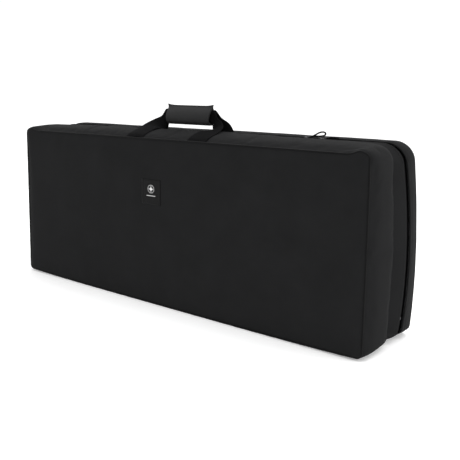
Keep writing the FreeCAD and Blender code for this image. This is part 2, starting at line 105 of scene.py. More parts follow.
# The seams lie in from the front and back faces, and behind the front one the corners are drawn in
SEAM_DEPTH, DRAWN_IN = 1.2 * MM, 1 * MM


def end_bow(node):
    """How far a node's ends stand out of the drawn-in corners."""
    return high(node).x - HALF + DRAWN_IN


# Depth, half length at the corners, bow of the ends, top, crown, radius of the top and of the bottom corners
STATIONS = [
    Station(FRONT + SEAM_DEPTH, HALF, 1 * MM, HEIGHT, 1 * MM, 9 * MM, 12 * MM),
    Station(PADDED, HALF - DRAWN_IN, end_bow("right_gusset"), high("top_gusset").z - 5 * MM, 9 * MM, 26 * MM,
            20 * MM),
    Station(BAND_EDGE, HALF - DRAWN_IN, end_bow("right_zip_band"), ZIP_TOP, 0, 34 * MM, 20 * MM),
    Station(LID_EDGE, HALF - DRAWN_IN, end_bow("lid_right_gusset"), ZIP_TOP, 0, 34 * MM, 20 * MM),
    Station(BACK - SEAM_DEPTH, HALF - DRAWN_IN, high("back_piping").x - HALF, high("back_piping").z - 1 * MM,
            1 * MM, 28 * MM, 18 * MM),
]
FRONT_SEAM, BACK_SEAM = STATIONS[0], STATIONS[-1]


def station(depth):
    """The outline at any depth."""
    for before, after in zip(STATIONS, STATIONS[1:]):
        if depth <= after.depth or after is BACK_SEAM:
            return before.mixed(after, (depth - before.depth) / (after.depth - before.depth))


LONG_STEPS, END_STEPS, CORNER_STEPS = 168, 62, 9


def outline(at, inset=0.0):
    """Points (x, z) round the case at a station, drawn in by the inset, and their outward normals. They
    start at the bottom left and run along the bottom, up the right end, along the top and down the left."""
    half, top = at.half - inset, at.top - inset
    corner, foot = (max(radius - inset, 2 * MM) for radius in (at.corner, at.foot))
    points, normals = [], []
    turns = ((half - foot, inset + foot, foot, -90, LONG_STEPS),
             (half - corner, top - corner, corner, 0, END_STEPS),
             (corner - half, top - corner, corner, 90, LONG_STEPS),
             (foot - half, inset + foot, foot, 180, END_STEPS))
    for index, (cx, cz, radius, start, steps) in enumerate(turns):
        before_x, before_z, before_radius = turns[index - 1][:3]
        direction = np.array([math.cos(math.radians(start)), math.sin(math.radians(start))])
        origin = np.array([before_x, before_z]) + before_radius * direction
        onward = np.array([cx, cz]) + radius * direction
        for step in range(steps):
            points.append(origin + (onward - origin) * step / steps)
            normals.append(direction)
        for step in range(CORNER_STEPS):
            angle = math.radians(start + 90 * step / CORNER_STEPS)
            direction = np.array([math.cos(angle), math.sin(angle)])
            points.append(np.array([cx, cz]) + radius * direction)
            normals.append(direction)
    return bowed(at, np.array(points)), np.array(normals)


def bowed(at, points):
    """The same points after the outline's sides are bowed out."""
    x, z = points[:, 0], points[:, 1]
    across, up = x / at.half, z / at.top
    behind = min(1.0, max(0.0, (at.depth - FRONT) / (LID_EDGE - FRONT)))
    spread = np.where(x < 0, LEFT_SPREAD + (END_SPREAD - LEFT_SPREAD) * behind, END_SPREAD * behind)
    new_x = x + across * (at.bow * (1 - (2 * up - 1) ** 2) + spread * np.clip(1 - up, 0, 1) ** 1.5)
    new_z = z + up * at.crown * (1 - across ** 2) + (1 - up) * CORNER_LIFT * across ** 4
    near_seam = max(0.0, 1 - (at.depth - FRONT) / CURL_DEPTH) ** 2
    new_z += CURL * near_seam * np.clip(up, 0, 1) ** 8 * np.exp(-((np.abs(x) - CURL_PLACE) / CURL_WIDTH) ** 2)
    return np.stack([new_x, new_z], axis=1)


# ---- Mesh building ----
def grid_faces(rows, columns, closed=False, flipped=False, tube=False):
    """Quads of a grid whose points run row by row; a closed grid joins its last row to its first, and a tube
    its last column to its first."""
    faces = []
    for row in range(rows if closed else rows - 1):
        here, after = row * columns, (row + 1) % rows * columns
        for column in range(columns if tube else columns - 1):
            onward = (column + 1) % columns
            face = (here + column, after + column, after + onward, here + onward)
            faces.append(face[::-1] if flipped else face)
    return faces


def add_object(name, data):
    """A new object in the scene."""
    made = bpy.data.objects.new(name, data)
    bpy.context.scene.collection.objects.link(made)
    return made


def make_mesh(name, points, faces, uv=None, smooth=True):
    """A mesh object; uv gives each point's place on the cloth, in metres."""
    mesh = bpy.data.meshes.new(name)
    mesh.from_pydata([tuple(map(float, p)) for p in points], [], faces)
    if uv is not None:
        layer = mesh.uv_layers.new(name="cloth")
        corners = np.zeros(len(mesh.loops), np.int32)
        mesh.loops.foreach_get("vertex_index", corners)
        layer.data.foreach_set("uv", np.array(uv, np.float32)[corners].ravel())
    mesh.polygons.foreach_set("use_smooth", [smooth] * len(mesh.polygons))
    mesh.update()
    return add_object(name, mesh)


def applied(piece):
    """The piece with its modifiers made real."""
    bpy.context.view_layer.update()
    graph = bpy.context.evaluated_depsgraph_get()
    mesh = bpy.data.meshes.new_from_object(piece.evaluated_get(graph), depsgraph=graph)
    piece.modifiers.clear()
    piece.data = mesh
    return piece


def thicken(piece, thickness, outward=-1.0, levels=0):
    """Gives a sheet its thickness, inwards by default, and smooths it."""
    solid = piece.modifiers.new("thickness", "SOLIDIFY")
    solid.thickness = thickness
    solid.offset = outward
    solid.use_even_offset = False
    if levels:
        subdivide = piece.modifiers.new("smooth", "SUBSURF")
        subdivide.levels = subdivide.render_levels = levels
    return applied(piece)


def smooth_step(share):
    share = np.clip(share, 0.0, 1.0)
    return share * share * (3 - 2 * share)


def uneven(points, size, seed):
    """Smooth noise between about -1 and 1 at each point; size is the length of one swell."""
    shift = Vector((seed, 2.3 * seed, -1.7 * seed))
    return np.array([noise.noise(Vector(point) / size + shift) for point in points])


def curve_through(keys, steps):
    """Smooth line through the keys (Catmull-Rom), with so many steps between each two."""
    keys = np.array(keys, float)
    before, after = 2 * keys[0] - keys[1], 2 * keys[-1] - keys[-2]
    keys = np.vstack([before, keys, after])
    line = []
    for index in range(1, len(keys) - 2):
        a, b, c, d = keys[index - 1:index + 3]
        for step in range(steps):
            t = step / steps
            line.append(0.5 * (2 * b + (c - a) * t + (2 * a - 5 * b + 4 * c - d) * t ** 2
                               + (3 * b - a - 3 * c + d) * t ** 3))
    return np.array(line + [keys[-2]])


def lengths_along(line):
    """How far along a line each of its points lies."""
    return np.concatenate([[0], np.cumsum(np.linalg.norm(np.diff(line, axis=0), axis=1))])


def spread_along(line, pitch):
    """Points at an even pitch along a line, and the line's direction at each."""
    line = np.array(line, float)
    lengths = lengths_along(line)
    count = max(2, int(lengths[-1] / pitch))
    places = np.linspace(0, lengths[-1], count)
    points = np.stack([np.interp(places, lengths, line[:, axis]) for axis in range(line.shape[1])], axis=1)
    directions = np.gradient(points, axis=0)
    return points, directions / np.linalg.norm(directions, axis=1)[:, None]


def coordinates(piece):
    found = np.zeros(len(piece.data.vertices) * 3)
    piece.data.vertices.foreach_get("co", found)
    return found.reshape(-1, 3)


PRESSURE, MOST_BILLOW, CLOTH_FRAMES = 2.0, 2.5 * MM, 20


def billow(piece, seams, slack):
    """Blows a sheet of cloth up between its seams with a short cloth simulation, as far as MOST_BILLOW."""
    rest = coordinates(piece)
    group = piece.vertex_groups.new(name="seams")
    group.add([int(index) for index in seams], 1.0, "REPLACE")
    cloth = piece.modifiers.new("cloth", "CLOTH")
    cloth.settings.quality = 4
    cloth.settings.mass = 0.3
    cloth.settings.vertex_group_mass = "seams"
    cloth.settings.shrink_min = -slack
    cloth.settings.use_pressure = True
    cloth.settings.uniform_pressure_force = PRESSURE
    cloth.settings.effector_weights.gravity = 0
    cloth.collision_settings.use_collision = False
    cloth.point_cache.frame_start, cloth.point_cache.frame_end = 1, CLOTH_FRAMES
    for step in range(1, CLOTH_FRAMES + 1):
        bpy.context.scene.frame_set(step)
    graph = bpy.context.evaluated_depsgraph_get()
    moved = coordinates(piece.evaluated_get(graph)) - rest
    distance = np.linalg.norm(moved, axis=1)[:, None]
    moved *= np.tanh(distance / MOST_BILLOW) * MOST_BILLOW / np.maximum(distance, 1e-9)
    piece.modifiers.clear()
    piece.data.vertices.foreach_set("co", (rest + moved).ravel())
    piece.data.update()
    bpy.context.scene.frame_set(1)


def surface(*pieces):
    """What a ray meets on these pieces."""
    points, faces = [], []
    for piece in pieces:
        faces += [[index + len(points) for index in face.vertices] for face in piece.data.polygons]
        points += [piece.matrix_world @ vertex.co for vertex in piece.data.vertices]
    return BVHTree.FromPolygons(points, faces)


def finish_piece(piece, material, body, *nodes):
    """Gives the piece its material and the body it rides on, and hides the CAD nodes it stands for."""
    piece.data.materials.clear()
    piece.data.materials.append(material)
    if nodes:
        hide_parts(*nodes)
    if body:
        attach(piece, body)
    return piece


def new_material(name, roughness, specular=0.5, metallic=0.0, sheen=0.0):
    """A material with its constants on the shader; the colour and bump are wired by the caller."""
    material = bpy.data.materials.new(name)
    material.use_nodes = True
    shader = material.node_tree.nodes["Principled BSDF"]
    shader.inputs["Roughness"].default_value = roughness
    shader.inputs["Specular IOR Level"].default_value = specular
    shader.inputs["Metallic"].default_value = metallic
    shader.inputs["Sheen Weight"].default_value = sheen
    shader.inputs["Sheen Roughness"].default_value = 0.5
    return material, shader


class Graph:
    """Short names for wiring a material's nodes."""

    def __init__(self, material):
        self.nodes, self.links = material.node_tree.nodes, material.node_tree.links

    def add(self, kind, **settings):
        node = self.nodes.new(kind)
        for key, setting in settings.items():
            if hasattr(node, key):
                setattr(node, key, setting)
            else:
                node.inputs[key.replace("_", " ")].default_value = setting
        return node

    def link(self, output, target):
        self.links.new(output, target)

    def coordinates(self, source):
        """UV in metres of cloth, or the object's own coordinates."""
        return self.add("ShaderNodeTexCoord").outputs[source]

    def noise(self, vector, scale, detail=3.0, roughness=0.6):
        node = self.add("ShaderNodeTexNoise", Scale=scale, Detail=detail, Roughness=roughness)
        self.link(vector, node.inputs["Vector"])
        return node.outputs["Fac"]

    def wave(self, vector, direction, pitch):
        """A sine between 0 and 1 with one period each pitch."""
        node = self.add("ShaderNodeTexWave", wave_type="BANDS", bands_direction=direction, wave_profile="SIN",
                        Scale=2 * math.pi / (20 * pitch))
        self.link(vector, node.inputs["Vector"])
        return node.outputs["Fac"]

    def math(self, operation, first, second):
        node = self.add("ShaderNodeMath", operation=operation)
        for socket, source in zip(node.inputs, (first, second)):
            if isinstance(source, (int, float)):
                socket.default_value = source
            else:
                self.link(source, socket)
        return node.outputs[0]

    def ramp(self, factor, stops):
        """Greys or colours at places from 0 to 1."""
        node = self.add("ShaderNodeValToRGB")
        elements = node.color_ramp.elements
        while len(elements) < len(stops):
            elements.new(0.5)
        for element, (place, colour) in zip(elements, stops):
            element.position = place
            element.color = (*colour, 1)
        self.link(factor, node.inputs["Fac"])
        return node.outputs["Color"]

    def bump(self, height, distance, after=None):
        node = self.add("ShaderNodeBump", Distance=distance, Strength=1.0)
        self.link(height, node.inputs["Height"])
        if after is not None:
            self.link(after, node.inputs["Normal"])
        return node.outputs["Normal"]


def shaded(colour, factor):
    return tuple(channel * factor for channel in colour)


def woven(name, colour, pitch=1.0 * MM, depth=0.12 * MM, roughness=0.6, sheen=0.1, specular=0.14,
          spread=0.18, crease=0.25 * MM):
    """Plain weave: threads go over and under in two directions, and the colour varies with them."""
    material, shader = new_material(name, roughness, specular, sheen=sheen)
    graph = Graph(material)
    cloth = graph.coordinates("UV")
    warp = graph.wave(cloth, "X", 2 * pitch)
    weft = graph.wave(cloth, "Y", 2 * pitch)
    both = graph.math("MULTIPLY", warp, weft)
    neither = graph.math("MULTIPLY", graph.math("SUBTRACT", 1.0, warp), graph.math("SUBTRACT", 1.0, weft))
    over = graph.math("ADD", both, neither)
    fibres = graph.noise(cloth, 1 / (0.6 * pitch), 2.0)
    patches = graph.noise(graph.coordinates("Object"), 14.0, 4.0)
    tone = graph.math("ADD", graph.math("MULTIPLY", patches, 0.62), graph.math("MULTIPLY", over, 0.38))
    stops = ((0.25, shaded(colour, 1 - spread)), (0.75, shaded(colour, 1 + spread)))
    graph.link(graph.ramp(tone, stops), shader.inputs["Base Color"])
    worn = graph.ramp(patches, ((0.2, (roughness - 0.06,) * 3), (0.8, (roughness + 0.06,) * 3)))
    graph.link(worn, shader.inputs["Roughness"])
    ripple = graph.bump(graph.noise(graph.coordinates("Object"), 42.0, 3.0), crease)
    threads = graph.bump(graph.math("ADD", over, graph.math("MULTIPLY", fibres, 0.3)), depth, after=ripple)
    graph.link(threads, shader.inputs["Normal"])
    return material


def ribbed(name, colour, pitch, depth, roughness=0.62):
    """Webbing and tape: fine ribs across the length, with a herringbone of threads along it."""
    material, shader = new_material(name, roughness, 0.006, sheen=0.004)
    graph = Graph(material)
    cloth = graph.coordinates("UV")
    ribs = graph.wave(cloth, "X", pitch)
    along = graph.wave(cloth, "Y", pitch * 0.8)
    slant = graph.add("ShaderNodeMapping")
    slant.inputs["Rotation"].default_value = (0, 0, math.radians(38))
    graph.link(cloth, slant.inputs["Vector"])
    twill = graph.wave(slant.outputs["Vector"], "X", pitch * 1.4)
    surface = graph.math("ADD", graph.math("MULTIPLY", ribs, along), graph.math("MULTIPLY", twill, 0.6))
    patches = graph.noise(graph.coordinates("Object"), 30.0, 3.0)
    tone = graph.math("ADD", graph.math("MULTIPLY", surface, 0.35), graph.math("MULTIPLY", patches, 0.5))
    stops = ((0.2, shaded(colour, 0.7)), (0.8, shaded(colour, 1.3)))
    graph.link(graph.ramp(tone, stops), shader.inputs["Base Color"])
    graph.link(graph.bump(surface, depth), shader.inputs["Normal"])
    return material


def grained(name, colour, roughness, grain, depth, metallic=0.0, spread=0.2, specular=0.5, sheen=0.0):
    """Foam, plastic and metal: a noise of one grain size in colour, roughness and bump."""
    material, shader = new_material(name, roughness, specular, metallic, sheen)
    graph = Graph(material)
    place = graph.coordinates("Object")
    fine = graph.noise(place, 1 / grain, 4.0, 0.65)
    broad = graph.noise(place, 1 / (12 * grain), 2.0)
    tone = graph.math("ADD", graph.math("MULTIPLY", fine, 0.5), graph.math("MULTIPLY", broad, 0.5))
    stops = ((0.3, shaded(colour, 1 - spread)), (0.7, shaded(colour, 1 + spread)))
    graph.link(graph.ramp(tone, stops), shader.inputs["Base Color"])
    worn = graph.ramp(tone, ((0.3, (max(0.05, roughness - 0.08),) * 3),
                             (0.7, (min(1.0, roughness + 0.08),) * 3)))
    graph.link(worn, shader.inputs["Roughness"])
    graph.link(graph.bump(fine, depth), shader.inputs["Normal"])
    return material


SHELL = woven("shell_nylon", (0.0128, 0.0129, 0.0133), pitch=0.9 * MM, roughness=0.64,
              sheen=0.006, specular=0.012)
WRAP = woven("wrap_nylon", (0.021, 0.0211, 0.0215), pitch=0.9 * MM, sheen=0.02,
             specular=0.08)
LINING = woven("tricot_lining", (0.03, 0.031, 0.034), pitch=0.6 * MM, depth=0.06 * MM,
               roughness=0.8, sheen=0.3)
PIPING = woven("piping_cloth", (0.003, 0.003, 0.0032), pitch=0.7 * MM, depth=0.1 * MM,
               sheen=0.01, specular=0.1)
WEBBING = ribbed("nylon_webbing", (0.0062, 0.0062, 0.0065), 1.7 * MM, 0.22 * MM)
TAPE = ribbed("zip_tape_cloth", (0.0018, 0.0018, 0.002), 0.9 * MM, 0.08 * MM)
TEETH = grained("coil_nylon", (0.004, 0.004, 0.0042), 0.6, 1.5 * MM, 0.02 * MM, specular=0.05)
THREAD = grained("bonded_thread", (0.009, 0.009, 0.0095), 0.55, 0.4 * MM, 0.03 * MM,
                 specular=0.15)
METAL = grained("dark_nickel", (0.13, 0.13, 0.135), 0.4, 0.8 * MM, 0.012 * MM, metallic=1.0,
                spread=0.1)
CRIMP = grained("crimp_plastic", (0.005, 0.005, 0.0055), 0.45, 0.6 * MM, 0.02 * MM, specular=0.3)
FOAM = grained("foam_board", (0.42, 0.42, 0.43), 0.9, 1.2 * MM, 0.25 * MM, spread=0.12, specular=0.2)
CRADLE = grained("cradle_sponge", (0.035, 0.035, 0.038), 0.92, 1.4 * MM, 0.35 * MM,
                 specular=0.2)
PATCH = woven("label_satin", (0.0022, 0.0022, 0.0024), pitch=0.35 * MM, depth=0.04 * MM,
              roughness=0.5, sheen=0.01, specular=0.1)
PRINT = grained("label_print", (0.62, 0.62, 0.62), 0.55, 0.3 * MM, 0.01 * MM, spread=0.06)
FUZZ = grained("hook_and_loop_pile", (0.004, 0.004, 0.0044), 0.95, 0.5 * MM, 0.4 * MM,
               specular=0.05)
CORD = woven("braided_cord", (0.003, 0.003, 0.0032), pitch=0.7 * MM, depth=0.14 * MM,
             sheen=0.0, specular=0.06)


# ---- Camera, light and floor ----
def set_camera():
    """At the photograph's viewing angle, in front of the right end and a little above its top."""
    azimuth, elevation = math.radians(38.84), math.radians(9.9)
    camera = add_object("camera", bpy.data.cameras.new("camera"))
    camera.location = (0.9225, -1.122, 0.4866)
    camera.rotation_euler = (math.pi / 2 - elevation, 0, azimuth)
    camera.data.sensor_width = 36
    camera.data.lens = 51.92
    camera.data.shift_x = 0.0688
    camera.data.shift_y = -0.0740
    bpy.context.scene.camera = camera


def area_light(name, place, target, width, depth, watts):
    data = bpy.data.lights.new(name, "AREA")
    data.shape = "RECTANGLE"
    data.size, data.size_y = width, depth
    data.energy = watts
    light = add_object(name, data)
    light.location = place
    light.rotation_euler = (Vector(target) - Vector(place)).to_track_quat("-Z", "Y").to_euler()


def set_stage():
    """A white, faintly lit floor in a white world, a large soft box overhead and a weak fill on the right."""
    extent = 14.0
    corners = [(-extent, -extent, 0), (extent, -extent, 0), (extent, extent, 0), (-extent, extent, 0)]
    floor = make_mesh("floor", corners, [(0, 1, 2, 3)], smooth=False)
    floor.location.z = -0.4 * MM
    material, shader = new_material("floor_paper", 0.9, specular=0.1)
    shader.inputs["Base Color"].default_value = (0.96, 0.96, 0.96, 1)
    shader.inputs["Emission Color"].default_value = (1, 1, 1, 1)
    shader.inputs["Emission Strength"].default_value = 0.23
    floor.data.materials.append(material)
    world = bpy.data.worlds.new("studio")
    world.use_nodes = True
    background = world.node_tree.nodes["Background"]
    background.inputs["Color"].default_value = (1, 1, 1, 1)
    background.inputs["Strength"].default_value = 1.05
    bpy.context.scene.world = world
    bpy.context.scene.view_settings.view_transform = "Standard"
    area_light("overhead", (0.3, 0.5, 2.2), (0, 0, 0.2), 2.6, 2.2, 34)
    area_light("right_fill", (2.4, 0.4, 1.1), (0.3, 0, 0.2), 1.4, 1.4, 9)


set_camera()
set_stage()


# ---- Zip pulls: the cords first ----
LEFT_LOOP = ((0, 1.7, 0), (8, 2.5, 2.0), (17, 1.8, 4.4), (25, 1.7, 4.0), (30.5, 0.7, 1.3),
             (30.9, -0.9, -2.4), (26, -1.8, -4.0), (17, -1.8, -3.0), (8, -2.4, -0.8), (0, -1.7, 0))
RIGHT_LOOP = ((0, 1.7, 0), (6, 2.6, 1.4), (13.5, 3.9, 2.6), (21, 4.2, 1.8), (26.5, 2.3, -0.4),
              (27.6, -1.5, -0.9), (23, -4.2, 0.9), (14.5, -4.3, 2.4), (6.5, -2.8, 1.4), (0, -1.7, 0))
TAB_LENGTH, FERRULE_LENGTH, CORD_DIAMETER = 10 * MM, 4.5 * MM, 3.2 * MM
PULL_PIVOT_HEIGHT = 0.37355


class Pull:
    """One zip pull: its pivot, the angle it lies at and its cord's route beyond the ferrule."""

    def __init__(self, side, pivot, angle, loop, length):
        self.side, self.pivot, self.angle = side, Vector((pivot, ZIP, PULL_PIVOT_HEIGHT)), math.radians(angle)
        self.loop, self.length = loop, length

    def place(self, along, across, above):
        """A point of the pull in the row frame."""
        turned = Vector((along * math.cos(self.angle) - above * math.sin(self.angle), across,
                         along * math.sin(self.angle) + above * math.cos(self.angle)))
        return self.pivot + turned

    def route(self):
        start = TAB_LENGTH + FERRULE_LENGTH
        return [self.place(start + along * MM, across * MM, above * MM) for along, across, above in self.loop]


PULLS = [Pull("left", 0.260, 14, LEFT_LOOP, 0.0664), Pull("right", 0.292, 3, RIGHT_LOOP, 0.0597)]


def close_rings(form, rings):
    """Adds the faces between each ring of vertices and the next, and a cap on the first and on the last."""
    for lower, upper in zip(rings, rings[1:]):
        for index in range(len(lower)):
            onward = (index + 1) % len(lower)
            form.faces.new((lower[index], lower[onward], upper[onward], upper[index]))
    form.faces.new(rings[0][::-1])
    form.faces.new(rings[-1])


def plate(form, outline_points, bottom, top, place, bevel):
    """Adds a flat plate with eased edges; place maps its outline and heights to the row frame."""
    rings = []
    middle = np.mean(outline_points, axis=0)
    for height, inset in ((bottom, bevel), (bottom + bevel, 0), (top - bevel, 0), (top, bevel)):
        ring = []
        for point in outline_points:
            away = np.array(point) - middle
            drawn = np.array(point) - away / max(np.linalg.norm(away), 1e-9) * inset
            ring.append(form.verts.new(place(drawn[0], drawn[1], height)))
        rings.append(ring)
    close_rings(form, rings)


def frame_plate(form, outer, inner, bottom, top, place):
    """Adds a plate with a window: the same number of points in both outlines."""
    count = len(outer)
    rings = [[form.verts.new(place(x, y, z)) for x, y in loop]
             for loop, z in ((outer, bottom), (outer, top), (inner, top), (inner, bottom))]
    for index, ring in enumerate(rings):
        beside = rings[(index + 1) % 4]
        for step in range(count):
            onward = (step + 1) % count
            form.faces.new((ring[step], ring[onward], beside[onward], beside[step]))


def rounded(x0, x1, y0, y1, radius, steps=4):
    """Rounded rectangle outline."""
    points = []
    for cx, cy, start in ((x1 - radius, y0 + radius, -90), (x1 - radius, y1 - radius, 0),
                          (x0 + radius, y1 - radius, 90), (x0 + radius, y0 + radius, 180)):
        for step in range(steps + 1):
            angle = math.radians(start + 90 * step / steps)
            points.append((cx + radius * math.cos(angle), cy + radius * math.sin(angle)))
    return points


def from_form(name, form, smooth_angle=40):
    """Makes the bmesh a piece, with its sharp edges kept sharp."""
    bmesh.ops.recalc_face_normals(form, faces=form.faces)
    mesh = bpy.data.meshes.new(name)
    form.to_mesh(mesh)
    form.free()
    mesh.polygons.foreach_set("use_smooth", [True] * len(mesh.polygons))
    mesh.set_sharp_from_angle(angle=math.radians(smooth_angle))
    return add_object(name, mesh)


def bar(form, line, radius, sides=8):
    """Adds a round bar that follows a line."""
    line = [Vector(point) for point in line]
    rings = []
    for index, point in enumerate(line):
        direction = (line[min(index + 1, len(line) - 1)] - line[max(index - 1, 0)]).normalized()
        across = direction.orthogonal() if abs(direction.y) > 0.9 else direction.cross(Vector((0, 1, 0)))
        across.normalize()
        beside = direction.cross(across)
        rings.append([form.verts.new(point + radius * (across * math.cos(2 * math.pi * side / sides)
                                                       + beside * math.sin(2 * math.pi * side / sides)))
                      for side in range(sides)])
    close_rings(form, rings)


def make_pull(pull):
    """Metal tab on its pin, the crimped ferrule and the cord loop."""
    form = bmesh.new()
    frame_plate(form, rounded(-0.6 * MM, TAB_LENGTH, -4 * MM, 4 * MM, 1.6 * MM),
                rounded(1.0 * MM, 6.6 * MM, -2.2 * MM, 2.2 * MM, 0.9 * MM), -0.7 * MM, 0.7 * MM, pull.place)
    bar(form, [pull.place(0, -3.9 * MM, 0), pull.place(0, 3.9 * MM, 0)], 0.85 * MM)
    tab = from_form(f"{pull.side}_tab", form)
    tab.modifiers.new("edges", "BEVEL").width = 0.2 * MM
    finish_piece(applied(tab), METAL, f"{pull.side}_pull", f"{pull.side}_pull_tab")

    form = bmesh.new()
    outline_points = rounded(-3.5 * MM, 3.5 * MM, -1.8 * MM, 1.8 * MM, 1.2 * MM)
    crimps = ((0, 0.82), (0.07, 0.95), (0.2, 1.0), (0.33, 1.0), (0.4, 0.88), (0.5, 0.86), (0.6, 0.88),
              (0.67, 1.0), (0.8, 1.0), (0.93, 0.95), (1.0, 0.82))
    rings = []
    for share, size in crimps:
        along = TAB_LENGTH + share * FERRULE_LENGTH
        rings.append([form.verts.new(pull.place(along, y * (0.5 + size / 2), z * size))
                      for y, z in outline_points])
    close_rings(form, rings)
    ferrule = finish_piece(from_form(f"{pull.side}_ferrule", form), CRIMP, f"{pull.side}_pull",
                           f"{pull.side}_pull_ferrule")

    line = bpy.data.curves.new(f"{pull.side}_cord_loop", "CURVE")
    line.dimensions = "3D"
    spline = line.splines.new("NURBS")
    route = pull.route()
    spline.points.add(len(route) - 1)
    for point, place in zip(spline.points, route):
        point.co = (*place, 1)
    spline.order_u = 3
    spline.use_endpoint_u = True
    spline.resolution_u = 10
    line.bevel_depth = CORD_DIAMETER / 2
    line.bevel_resolution = 4
    line.use_fill_caps = True
    loop = add_object(f"{pull.side}_cord_loop", line)
    finish_piece(loop, CORD, f"{pull.side}_pull", f"{pull.side}_pull_cord")


def make_slider(side, sign):
    """Zip slider: two waisted plates, the post between them and the bridge over the top."""
    start, end = low(f"{side}_slider").x, high(f"{side}_slider").x
    nose, tail = (start, end) if sign > 0 else (end, start)
    bottom = low(f"{side}_slider").z

    def place(along, across, height):
        return Vector((nose + (tail - nose) * along, ZIP + across, bottom + height))

    half_outline = [(0.0, 2.2), (0.06, 4.6), (0.2, 5.9), (0.42, 5.6), (0.6, 4.5), (0.8, 4.1), (0.96, 4.0),
                    (1.0, 3.4)]
    outline_points = [(along, -across * MM) for along, across in half_outline]
    outline_points += [(along, across * MM) for along, across in half_outline[::-1]]
    form = bmesh.new()
    for lower, upper in ((0, 1.4 * MM), (4.3 * MM, 5.7 * MM)):
        plate(form, outline_points, lower, upper, place, bevel=0.12 * MM)
    post = [(0.1, -0.4 * MM), (0.45, -0.4 * MM), (0.45, 0.4 * MM), (0.1, 0.4 * MM)]
    plate(form, post, 1.2 * MM, 4.5 * MM, place, bevel=0.05 * MM)
    pivot = PULLS[0 if side == "left" else 1].pivot
    arch = [(pivot.x + 3.6 * MM * math.cos(angle), ZIP, bottom + 5.2 * MM + 3.6 * MM * math.sin(angle))
            for angle in np.linspace(0, math.pi, 13)]
    for beside, radius in ((0, 0.8 * MM), (1.0 * MM, 0.6 * MM), (-1.0 * MM, 0.6 * MM)):
        bar(form, [(x, y + beside, z) for x, y, z in arch], radius)
    piece = from_form(f"{side}_zip_slider", form)
    finish_piece(piece, METAL, f"{side}_zip_slider", f"{side}_slider")


for one_pull in PULLS:
    make_pull(one_pull)
make_slider("left", -1)
make_slider("right", 1)


# ---- Shell ----
AROUND = 2 * (LONG_STEPS + END_STEPS) + 4 * CORNER_STEPS
END_AND_CORNERS = END_STEPS + 2 * CORNER_STEPS
TOP_START, TOP_END = LONG_STEPS + END_AND_CORNERS, AROUND - END_AND_CORNERS
# Stretches of the outline, by the index of their points
SPANS = {
    "all": range(AROUND),
    "open": [index % AROUND for index in range(LONG_STEPS, AROUND + 1)],
    "bottom": range(LONG_STEPS + 1),
    "right": range(LONG_STEPS, TOP_START + 1),
    "top": range(TOP_START, TOP_END + 1),
    "left": [index % AROUND for index in range(TOP_END, AROUND + 1)],
}


def ring_sheet(name, rows, span="all", waves=None):
    """A sheet round the case. Each row is a depth and how far it stands out, to which waves adds."""
    picked = list(SPANS[span])
    layers, uv_layers = [], []
    across = 0.0
    reference = outline(station(rows[len(rows) // 2][0]))[0][picked]
    along = lengths_along(reference)
    for index, (depth, out) in enumerate(rows):
        flat, normals = outline(station(depth))
        flat, normals = flat[picked], normals[picked]
        free = smooth_step((normals[:, 1] + 1) / 0.7)
        stand = np.full(len(flat), out) * np.where(out > 0, free, 1.0)
        layer = np.stack([flat[:, 0], np.full(len(flat), depth), flat[:, 1]], axis=1)
        if waves is not None:
            stand = stand + waves(layer, normals, depth) * free
        layer[:, 0] += normals[:, 0] * stand
        layer[:, 2] += normals[:, 1] * stand
        layer[:, 2] = np.maximum(layer[:, 2], 0.2 * MM)
        if index:
            across += math.hypot(depth - rows[index - 1][0], out - rows[index - 1][1])
        layers.append(layer)
        uv_layers.append(np.stack([along, np.full(len(flat), across)], axis=1))
    points = np.stack(layers, axis=1).reshape(-1, 3)
    uv = np.stack(uv_layers, axis=1).reshape(-1, 2)
    faces = grid_faces(len(picked), len(rows), closed=span == "all", flipped=True)
    return make_mesh(name, points, faces, uv)


def ring_edges(piece, rows):
    """Indices of the points in a ring sheet's first and last rows."""
    count = len(piece.data.vertices)
    return [index for index in range(count) if index % rows in (0, rows - 1)]


def profile(keys, steps=5):
    """Rows (depth, stand) through keys given in mm."""
    return [tuple(point * MM) for point in curve_through(keys, steps)]


def corner_turn(normals):
    """How far the outline has turned a corner: 0 along a side and 0.5 half way round."""
    return np.abs(normals[:, 0] * normals[:, 1])


def gusset_waves(points, normals, depth):
    """Long soft swells of the padding, and folds that fan out of the corners."""
    swells = 1.3 * MM * uneven(points, 0.16, 3.0) + 0.5 * MM * uneven(points, 0.05, 7.0)
    folds = 1.6 * MM * corner_turn(normals) * uneven(points * np.array([1, 0.25, 1]), 0.022, 11.0)
    return swells + folds


F, P, Z, L, B = (depth / MM for depth in (FRONT, PADDED, BAND_EDGE, LID_EDGE, BACK))

# Padded gusset of the tray
gusset_rows = profile([(F + 1.6, -2.2), (F + 2.6, -0.6), (F + 6, 1.6), (F + 14, 3.4), (F + 28, 4.8),
                       (F + 45, 5.4), (F + 60, 5.4), (F + 72, 4.9), (P - 9, 3.6), (P - 4, 2.2), (P - 1.2, 0),
                       (P, -2.6)])
gusset = ring_sheet("gusset_cover", gusset_rows, waves=gusset_waves)
billow(gusset, ring_edges(gusset, len(gusset_rows)), slack=0.006)
thicken(gusset, SKIN)
finish_piece(gusset, SHELL, "case", "top_gusset", "bottom_gusset", "left_gusset", "right_gusset")


def band_waves(points, normals, depth):
    """Unpadded cloth pulled towards the padded seam: shallow pleats, deepest at the corners."""
    slack = math.sin(math.pi * min(1.0, max(0.0, (depth - PADDED) / (BAND_EDGE - PADDED))))
    turned = corner_turn(normals)
    pleats = uneven(points * np.array([1, 0.4, 1]), 0.03, 19.0)
    return slack * (0.7 * MM * uneven(points, 0.07, 5.0) + (0.5 * MM + 2.5 * MM * turned) * pleats
                    - 5 * MM * turned)


